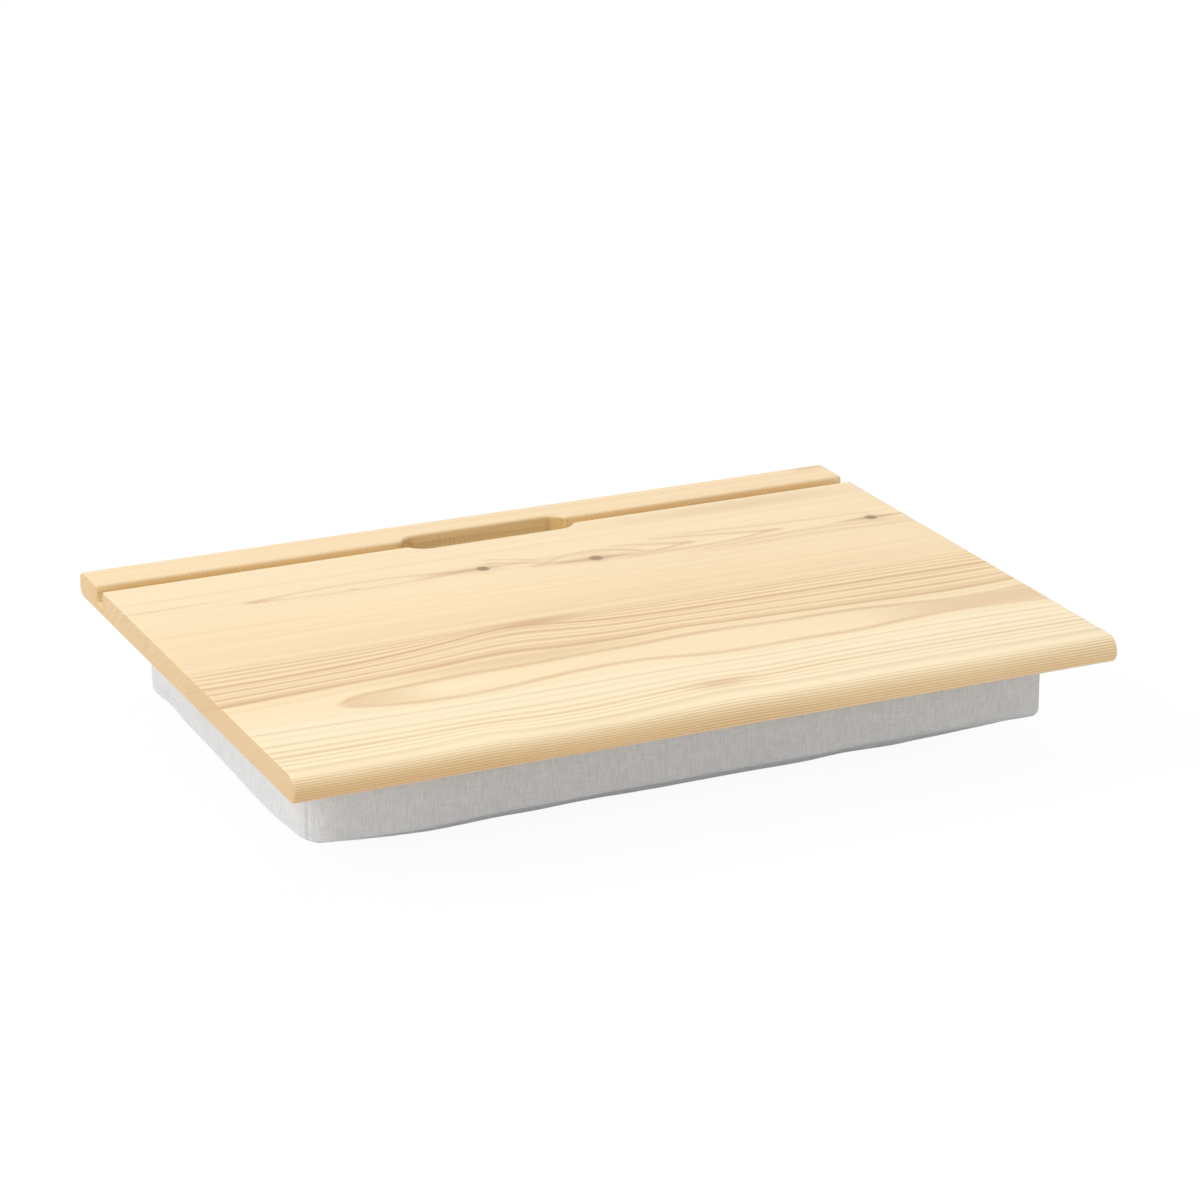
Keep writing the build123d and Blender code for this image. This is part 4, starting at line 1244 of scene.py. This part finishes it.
# %% Cover panels
cover_cloth = woven_material("cover_cloth", srgb(240, 240, 240), srgb(196, 196, 198), 0.6, 0.55, 0.55,
                             slub_shade=0.09)
PANEL_NODES = {
    BASE: ("cover_underside", "cover_base"), TOP: ("cover_top_panel", "cover_top"),
    FRONT: ("cover_front_panel", "cover_front"), RIGHT: ("cover_right_end", "cover_right"),
    LEFT: ("cover_left_end", "cover_left"), BACK_LOWER: ("cover_back_below_zip", "cover_back_lower"),
    BACK_UPPER: ("cover_back_above_zip", "cover_back_upper"),
}
for panel, (name, node_name) in PANEL_NODES.items():
    show(name, panels[panel], cover_cloth, "cushion", [node_name])
print("cover panels:", len(PANEL_NODES))

# %% [markdown]
# ### Bead bag and beads
# Inside the cover is a thin bag, sewn from two halves, that keeps the beads in when the cover is washed. It
# is never seen at rest, but it is a real piece, so it gets the same form a little smaller, and its own cloth.
# The beads are one lumpy mass rather than many thousand balls, with painted shade in the gaps between them.

# %% Bag and beads
BAG_INSET, BAG_BACK_INSET, BAG_TOP, BAG_SEAM = 1.7, 3.4, TOP_LEVEL - 1.2, TOP_LEVEL - 1.5
BAG_WALL, BAG_SEAM_STRIP, BAG_SEAM_DEPTH = 0.3, 0.8, 0.3
BEAD_INSET, BEAD_BACK_INSET, BEAD_DENT = 2.6, BAG_BACK_INSET + 1.0, 0.5
BEAD_TOP, BEAD_RIM = TOP_LEVEL - 2.0, TOP_LEVEL - 2.4
bag_mesh = cushion_grid("bag", BAG_INSET, BAG_BACK_INSET, BAG_TOP, BAG_SEAM)
bag_seam_row = (ZIP_LEVEL + WINDOW_HALF) * MM
for face in bag_mesh.polygons:
    face.material_index = 1 if face.center.z > bag_seam_row else 0
bag_halves = sewn_panels(bag_mesh, BAG_WALL, BAG_SEAM_STRIP, BAG_SEAM_DEPTH)
bag_cloth = woven_material("bag_cloth", srgb(233, 233, 230), srgb(206, 206, 203), 0.45, 0.45, 1.0, depth=0.0001)
for half, name in ((0, "bead_bag_lower"), (1, "bead_bag_upper")):
    show(name + "_half", bag_halves[half], bag_cloth, "cushion", [name])

bead_mesh = cushion_grid("beads", BEAD_INSET, BEAD_BACK_INSET, BEAD_TOP, BEAD_RIM)
bead_mesh = evaluated_mesh(bead_mesh, ("SUBSURF", {"levels": 1, "render_levels": 1}))
random.seed(11)
bead_normals = [vertex.normal.copy() for vertex in bead_mesh.vertices]
for vertex, normal in zip(bead_mesh.vertices, bead_normals):
    vertex.co -= normal * random.uniform(0.0, BEAD_DENT) * MM
bead_material, bead_tree, bead_shader = finish_material("foam_beads", Roughness=0.7, Specular_IOR_Level=0.3)
bead_inputs = {"Vector": object_place(bead_tree), "Scale": 0.28, "Randomness": 0.8}
bead_cells = node(bead_tree, "TexVoronoi", bead_inputs).outputs["Distance"]
# Darker towards the edge of each cell: painted shade in the gaps between the beads.
bead_dome_and_gap_shade = remap(bead_tree, bead_cells, 0.0, 0.7, 1.0, 0.0)
bead_tree.links.new(blend_colour(bead_tree, bead_dome_and_gap_shade, srgb(196, 196, 192), srgb(246, 246, 243)),
                    bead_shader["Base Color"])
bead_tree.links.new(relief(bead_tree, bead_dome_and_gap_shade, strength=0.8, distance=0.0015), bead_shader["Normal"])
show("bead_filling", bead_mesh, bead_material, "cushion", ["bead_fill"])
print("bag halves and beads:", [len(mesh.polygons) for mesh in bag_halves.values()], len(bead_mesh.polygons))

# %% [markdown]
# ## Things that repeat
# Hooks, loops, stitches and zip teeth are one small piece many times over, in straight rows. They could be
# made with Array modifiers, but a Geometry Nodes tree can also turn each copy a little by chance. It lays a
# grid of points, sets the piece on each, makes the copies real and gives them their material.

# %% Tree of rows
def rows_tree():
    """A node tree that sets one piece on a grid of points."""
    tree = bpy.data.node_groups.new("rows_of_pieces", "GeometryNodeTree")
    tree.interface.new_socket("Geometry", in_out="INPUT", socket_type="NodeSocketGeometry")
    for title, kind in (("Piece", "Object"), ("Count Along", "Int"), ("Count Across", "Int"),
                        ("Pitch Along", "Float"), ("Pitch Across", "Float"), ("Turn Spread", "Vector"),
                        ("Shift", "Float"), ("Seed", "Int"), ("Finish", "Material")):
        tree.interface.new_socket(title, in_out="INPUT", socket_type="NodeSocket" + kind)
    tree.interface.new_socket("Geometry", in_out="OUTPUT", socket_type="NodeSocketGeometry")
    given = node(tree, "NodeGroupInput").outputs
    sizes = []
    for way in ("Along", "Across"):
        gaps = calc(tree, "SUBTRACT", given["Count " + way], 1.0)
        sizes.append(calc(tree, "MULTIPLY", gaps, given["Pitch " + way]))
    grid = node(tree, "GeometryNodeMeshGrid", {
        "Vertices X": given["Count Along"], "Vertices Y": given["Count Across"],
        "Size X": sizes[0], "Size Y": sizes[1]})
    piece = node(tree, "GeometryNodeObjectInfo", {"Object": given["Piece"]})

    def by_chance(low, high):
        """A vector for each point, drawn between two others."""
        limits = {"Min": low, "Max": high, "Seed": given["Seed"]}
        return node(tree, "FunctionNodeRandomValue", limits, data_type="FLOAT_VECTOR").outputs["Value"]

    turned_back = node(tree, "VectorMath", {0: given["Turn Spread"], "Scale": -1.0}, operation="SCALE").outputs[0]
    shifts = []
    for sign in (-1.0, 1.0):
        far = calc(tree, "MULTIPLY", given["Shift"], sign)
        shifts.append(vector_from(tree, far, far))
    shifted = node(tree, "GeometryNodeSetPosition", {"Geometry": grid.outputs["Mesh"], "Offset": by_chance(*shifts)})
    copies = node(tree, "GeometryNodeInstanceOnPoints", {
        "Points": shifted.outputs["Geometry"], "Instance": piece.outputs["Geometry"],
        "Rotation": by_chance(turned_back, given["Turn Spread"])})
    real = node(tree, "GeometryNodeRealizeInstances", {"Geometry": copies.outputs["Instances"]})
    dressed = node(tree, "GeometryNodeSetMaterial", {
        "Geometry": real.outputs["Geometry"], "Material": given["Finish"]})
    node(tree, "NodeGroupOutput", {"Geometry": dressed.outputs["Geometry"]})
    return tree


ROWS = rows_tree()
SOCKETS = {item.name: item.identifier for item in ROWS.interface.items_tree if item.in_out == "INPUT"}
print("inputs of the tree of rows:", list(SOCKETS))

# %% [markdown]
# The tree is used through a modifier on an empty mesh, whose result is taken as a plain mesh. A matrix then
# carries the flat rows to their place on the part.

# %% Rows as a plain mesh
def facing(origin, along, across):
    """A matrix that carries flat rows to a place, with its first and second ways."""
    along, across = Vector(along), Vector(across)
    turn = Matrix((along, across, along.cross(across))).transposed().to_4x4()
    return Matrix.Translation(origin) @ turn


def in_rows(piece_mesh, finish, place, counts, pitches, spread=(0.0, 0.0, 0.0), shift=0.0, seed=1):
    """Copies of a small mesh in rows, as one plain mesh, carried to its place by a matrix."""
    piece = bpy.data.objects.new("piece", piece_mesh)
    holder = bpy.data.objects.new("rows", bpy.data.meshes.new("rows"))
    for thing in (piece, holder):
        bpy.context.scene.collection.objects.link(thing)
    modifier = holder.modifiers.new("rows", "NODES")
    modifier.node_group = ROWS
    values = {"Piece": piece, "Count Along": counts[0], "Count Across": counts[1], "Pitch Along": pitches[0] * MM,
              "Pitch Across": pitches[1] * MM, "Turn Spread": spread, "Shift": shift * MM, "Seed": seed,
              "Finish": finish}
    for title, value in values.items():
        modifier[SOCKETS[title]] = value
    holder.update_tag()
    made = bpy.data.meshes.new_from_object(holder.evaluated_get(bpy.context.evaluated_depsgraph_get()))
    for thing in (piece, holder):
        bpy.data.objects.remove(thing)
    made.transform(place)
    return made


def joined(meshes, name):
    """Several meshes as one."""
    whole = bmesh.new()
    for mesh in meshes:
        whole.from_mesh(mesh)
    mesh = bpy.data.meshes.new(name)
    whole.to_mesh(mesh)
    whole.free()
    return mesh


print("rows start flat, and end facing", tuple(facing((0, 0, 0), (-1, 0, 0), (0, 0, 1)).to_3x3().col[2]))

# %% [markdown]
# The small pieces themselves are a bent thread, for hooks, loops and stitches, and a block with eased edges,
# for the tapes.

# %% Threads and blocks
def thread(points, radius, sides=4):
    """A short bent thread in the upright plane, closed at both ends, sized in millimetres."""
    path = [Vector((x, 0.0, z)) * MM for x, z in points]
    corners, faces = [], []
    for index, place in enumerate(path):
        ahead = path[min(index + 1, len(path) - 1)] - path[max(index - 1, 0)]
        side = Vector((ahead.z, 0, -ahead.x)).normalized()
        for turn in range(sides):
            angle = 2 * math.pi * turn / sides
            corners.append(place + radius * MM * (math.cos(angle) * side + math.sin(angle) * Vector((0, 1, 0))))
    for ring in range(len(path) - 1):
        for turn in range(sides):
            here, there = ring * sides + turn, ring * sides + (turn + 1) % sides
            faces.append((here, there, there + sides, here + sides))
    faces.append(tuple(range(sides)))
    faces.append(tuple(range(len(corners) - 1, len(corners) - sides - 1, -1)))
    mesh = bpy.data.meshes.new("thread")
    mesh.from_pydata(corners, [], faces)
    skin = bmesh.new()
    skin.from_mesh(mesh)
    bmesh.ops.recalc_face_normals(skin, faces=skin.faces)
    for face in skin.faces:
        face.smooth = len(face.verts) == 4
    skin.to_mesh(mesh)
    skin.free()
    return mesh


def eased_block(low, high, easing, segments=2):
    """A block between two corners with its edges rounded, in metres but for the easing in millimetres."""
    block = bmesh.new()
    bmesh.ops.create_cube(block, size=1.0)
    for vertex in block.verts:
        vertex.co = Vector([a + (b - a) * (c + 0.5) for a, b, c in zip(low, high, vertex.co)])
    bmesh.ops.bevel(block, geom=block.edges, offset=easing * MM, segments=segments, affect="EDGES", profile=0.5)
    mesh = bpy.data.meshes.new("block")
    block.to_mesh(mesh)
    block.free()
    return smooth_by_angle(mesh, CLOTH_SHARP)


hook_piece = thread(((0, 0), (0, 0.5), (0.08, 0.78), (0.30, 0.93), (0.52, 0.80), (0.56, 0.58)), 0.09)
loop_piece = thread(((-0.45, 0), (-0.5, 0.35), (-0.2, 0.68), (0.2, 0.68), (0.5, 0.35), (0.45, 0)), 0.07)
stitch_piece = thread(((-1.1, -0.2), (-0.85, 0.12), (0, 0.22), (0.85, 0.12), (1.1, -0.2)), 0.2, 5)
print("faces of a hook, a loop and a stitch:", [len(m.polygons) for m in (hook_piece, loop_piece, stitch_piece)])

# %% [markdown]
# ## Hook and loop strips
# The board holds on to the cushion by four pairs of strips near the corners. The hook half is glued under
# the board, with stiff hooks all leaning one way. The loop half is sewn on the cushion, with soft loops that
# lie every way.

# %% Strips
hook_nylon = woven_material("hook_nylon", srgb(206, 200, 190), srgb(170, 164, 154), 0.6, 0.6, 0.9, plan=(0, 1))
loop_nylon = woven_material("loop_nylon", srgb(214, 209, 200), srgb(184, 178, 169), 0.5, 0.5, 1.0, plan=(0, 1))
sewing_thread = woven_material("sewing_thread", srgb(232, 229, 224), srgb(198, 194, 188), 0.3, 0.3, 0.8, plan=(0, 1))
STITCH_PITCH, TAPE_EASING = 3.1, 0.12
# Kind, body, material, small piece, which way it faces, tape, counts, pitches, spread of turns, shift, seed.
STRIPS = (
    ("hook", "board", hook_nylon, hook_piece, -1, 0.5, (40, 9), (1.95, 1.85), (0.12, 0.12, 0.25), 0.12, 5),
    ("loop", "cushion", loop_nylon, loop_piece, 1, 0.6, (46, 12), (1.7, 1.38), (0.2, 0.2, 3.1), 0.4, 9),
)
# The way along a row of stitches, the way across it, how far from the strip's middle it lies, and its stitches.
STITCH_ROWS = (((1, 0, 0), (0, 1, 0), 9.2, 25), ((0, 1, 0), (-1, 0, 0), 39.0, 6))
stitches = []
for row in ("front", "back"):
    for end in ("left", "right"):
        for kind, body, nylon, piece, up, tape_wall, counts, pitches, spread, shift, seed in STRIPS:
            name = kind + "_strip_" + row + "_" + end
            low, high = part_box(name)
            face_level = low.z + tape_wall * MM if up > 0 else high.z - tape_wall * MM
            middle = Vector(((low.x + high.x) / 2, (low.y + high.y) / 2, face_level))
            if up > 0:
                high.z = face_level
            else:
                low.z = face_level
            rows = in_rows(piece, nylon, facing(middle, (1, 0, 0), (0, up, 0)), counts, pitches, spread, shift, seed)
            tape = eased_block(low, high, TAPE_EASING)
            show(name + "_nylon", joined([tape, rows], kind + "_strip"), nylon, body, [name])
        for along, across, reach, count in STITCH_ROWS:
            for side in (-1, 1):
                place = facing(middle + Vector(across) * (side * reach * MM), along, across)
                stitches.append(in_rows(stitch_piece, sewing_thread, place, (count, 1), (STITCH_PITCH, 1)))
show("strip_stitching", joined(stitches, "strip_stitching"), sewing_thread, "cushion")

# %% [markdown]
# ## Zip
# The zip runs along the back, so that the bag of beads can be taken out. Its two tapes are sewn behind a
# window in the back panel, a row of moulded teeth stands on the edge of each, and a small metal slider with
# a flat pull runs on them.

# %% Zip tapes, teeth and stops
TOOTH_COUNT, TOOTH_PITCH, TOOTH_FOOT, TOOTH_HEIGHT, TOOTH_EASING = 76, 3.5, 2.6, 1.6, 0.2
ZIP_TAPE_EASING, STOP_EASING = 0.15, 0.2
PLASTIC_SHARP = math.radians(40)
zip_tape_cloth = woven_material("zip_tape", srgb(222, 218, 213), srgb(190, 186, 181), 0.5, 0.5, 0.9, plan=(0, 2))
zip_plastic, plastic_tree, plastic_shader = finish_material("zip_plastic", Roughness=0.42, Specular_IOR_Level=0.45)
mottle = noise_at(plastic_tree, object_place(plastic_tree), 3.0, scale=1.4)
plastic_tree.links.new(blend_colour(plastic_tree, mottle, srgb(206, 202, 196), srgb(222, 218, 212)),
                       plastic_shader["Base Color"])
plastic_tree.links.new(relief(plastic_tree, mottle, strength=0.2, distance=0.00005), plastic_shader["Normal"])


def tooth_mesh(side):
    """One tooth, seen from behind: a foot on the tape, a neck and a wider head, with eased edges."""
    outline = ((-0.5, TOOTH_FOOT), (-0.5, 0.3), (-0.7, 0.0), (-0.7, -0.7), (0.7, -0.7), (0.7, 0.0), (0.5, 0.3),
               (0.5, TOOTH_FOOT))
    tooth = bmesh.new()
    corners = [tooth.verts.new((x * MM, side * y * MM, 0)) for x, y in outline]
    face = tooth.faces.new(corners)
    raised = bmesh.ops.extrude_face_region(tooth, geom=[face])["geom"]
    for vertex in [v for v in raised if isinstance(v, bmesh.types.BMVert)]:
        vertex.co.z += TOOTH_HEIGHT * MM
    bmesh.ops.recalc_face_normals(tooth, faces=tooth.faces)
    top_edges = [edge for edge in tooth.edges if all(v.co.z > TOOTH_HEIGHT / 2 * MM for v in edge.verts)]
    bmesh.ops.bevel(tooth, geom=top_edges, offset=TOOTH_EASING * MM, segments=2, affect="EDGES", profile=0.5)
    mesh = bpy.data.meshes.new("tooth")
    tooth.to_mesh(mesh)
    tooth.free()
    return smooth_by_angle(mesh, PLASTIC_SHARP)


for half, side in (("upper", 1), ("lower", -1)):
    low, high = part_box("zip_tape_" + half)
    show("zip_tape_" + half + "_cloth", eased_block(low, high, ZIP_TAPE_EASING), zip_tape_cloth, "cushion",
         ["zip_tape_" + half])
    low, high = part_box("zip_teeth_" + half)
    foot_level = (high.z if side > 0 else low.z) - side * TOOTH_FOOT * MM
    place = facing(Vector(((low.x + high.x) / 2, low.y, foot_level)), (-1, 0, 0), (0, 0, 1))
    teeth = in_rows(tooth_mesh(side), zip_plastic, place, (TOOTH_COUNT, 1), (TOOTH_PITCH, 1))
    show("zip_teeth_" + half + "_row", teeth, zip_plastic, "cushion", ["zip_teeth_" + half])
stop_bevel = ("BEVEL", {"width": STOP_EASING * MM, "segments": 2, "limit_method": "ANGLE"})
for name in ("zip_top_stops", "zip_bottom_stop"):
    stop = evaluated_mesh(merged_copy(name), stop_bevel)
    show(name + "_moulded", smooth_by_angle(stop, PLASTIC_SHARP), zip_plastic, "cushion", [name])
print("teeth in a row:", TOOTH_COUNT)

# %% [markdown]
# Two rows of stitches, one above the window and one below it, hold the tapes to the back panel.

# %% Zip stitching
ZIP_STITCH_COUNT, PAST_WINDOW = 94, 2.2
back_face = (CUSHION_CENTRE + CUSHION_DEPTH / 2) * MM
zip_stitches = []
for side in (-1, 1):
    level = (ZIP_LEVEL + side * (WINDOW_HALF + PAST_WINDOW)) * MM
    place = facing(Vector((0, back_face, level)), (-1, 0, 0), (0, 0, 1))
    zip_stitches.append(in_rows(stitch_piece, sewing_thread, place, (ZIP_STITCH_COUNT, 1), (STITCH_PITCH, 1)))
show("zip_stitching", joined(zip_stitches, "zip_stitching"), sewing_thread, "cushion")
print("zip stitches:", 2 * ZIP_STITCH_COUNT)

# %% [markdown]
# ### Slider and pull
# Both are small die-cast pieces with a satin nickel finish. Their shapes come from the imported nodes. The
# finish has fine brushing along the pull and is a little duller where fingers rub it.

# %% Slider and pull
BRUSH_STRETCH, RUB_SCALE = (300.0, 9000.0, 9000.0), 260.0
nickel, nickel_tree, nickel_shader = finish_material("satin_nickel", Roughness=0.3, Metallic=1.0)
nickel_place = node(nickel_tree, "TexCoord").outputs["Object"]
brushed_place = calc_vector(nickel_tree, "MULTIPLY", nickel_place, BRUSH_STRETCH)
brushing = noise_at(nickel_tree, brushed_place, 3.0)
rubbing = noise_at(nickel_tree, nickel_place, 2.0, scale=RUB_SCALE)
nickel_tree.links.new(blend_colour(nickel_tree, rubbing, srgb(196, 194, 190), srgb(222, 220, 216)),
                      nickel_shader["Base Color"])
nickel_tree.links.new(calc(nickel_tree, "MULTIPLY_ADD", brushing, 0.18, 0.22), nickel_shader["Roughness"])
nickel_tree.links.new(relief(nickel_tree, brushing, strength=0.25, distance=0.00002), nickel_shader["Normal"])
for name in ("zip_slider", "zip_pull"):
    show(name + "_nickel", merged_copy(name), nickel, name, [name])
print("slider and pull triangles:", [len(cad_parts[name].data.polygons) for name in ("zip_slider", "zip_pull")])
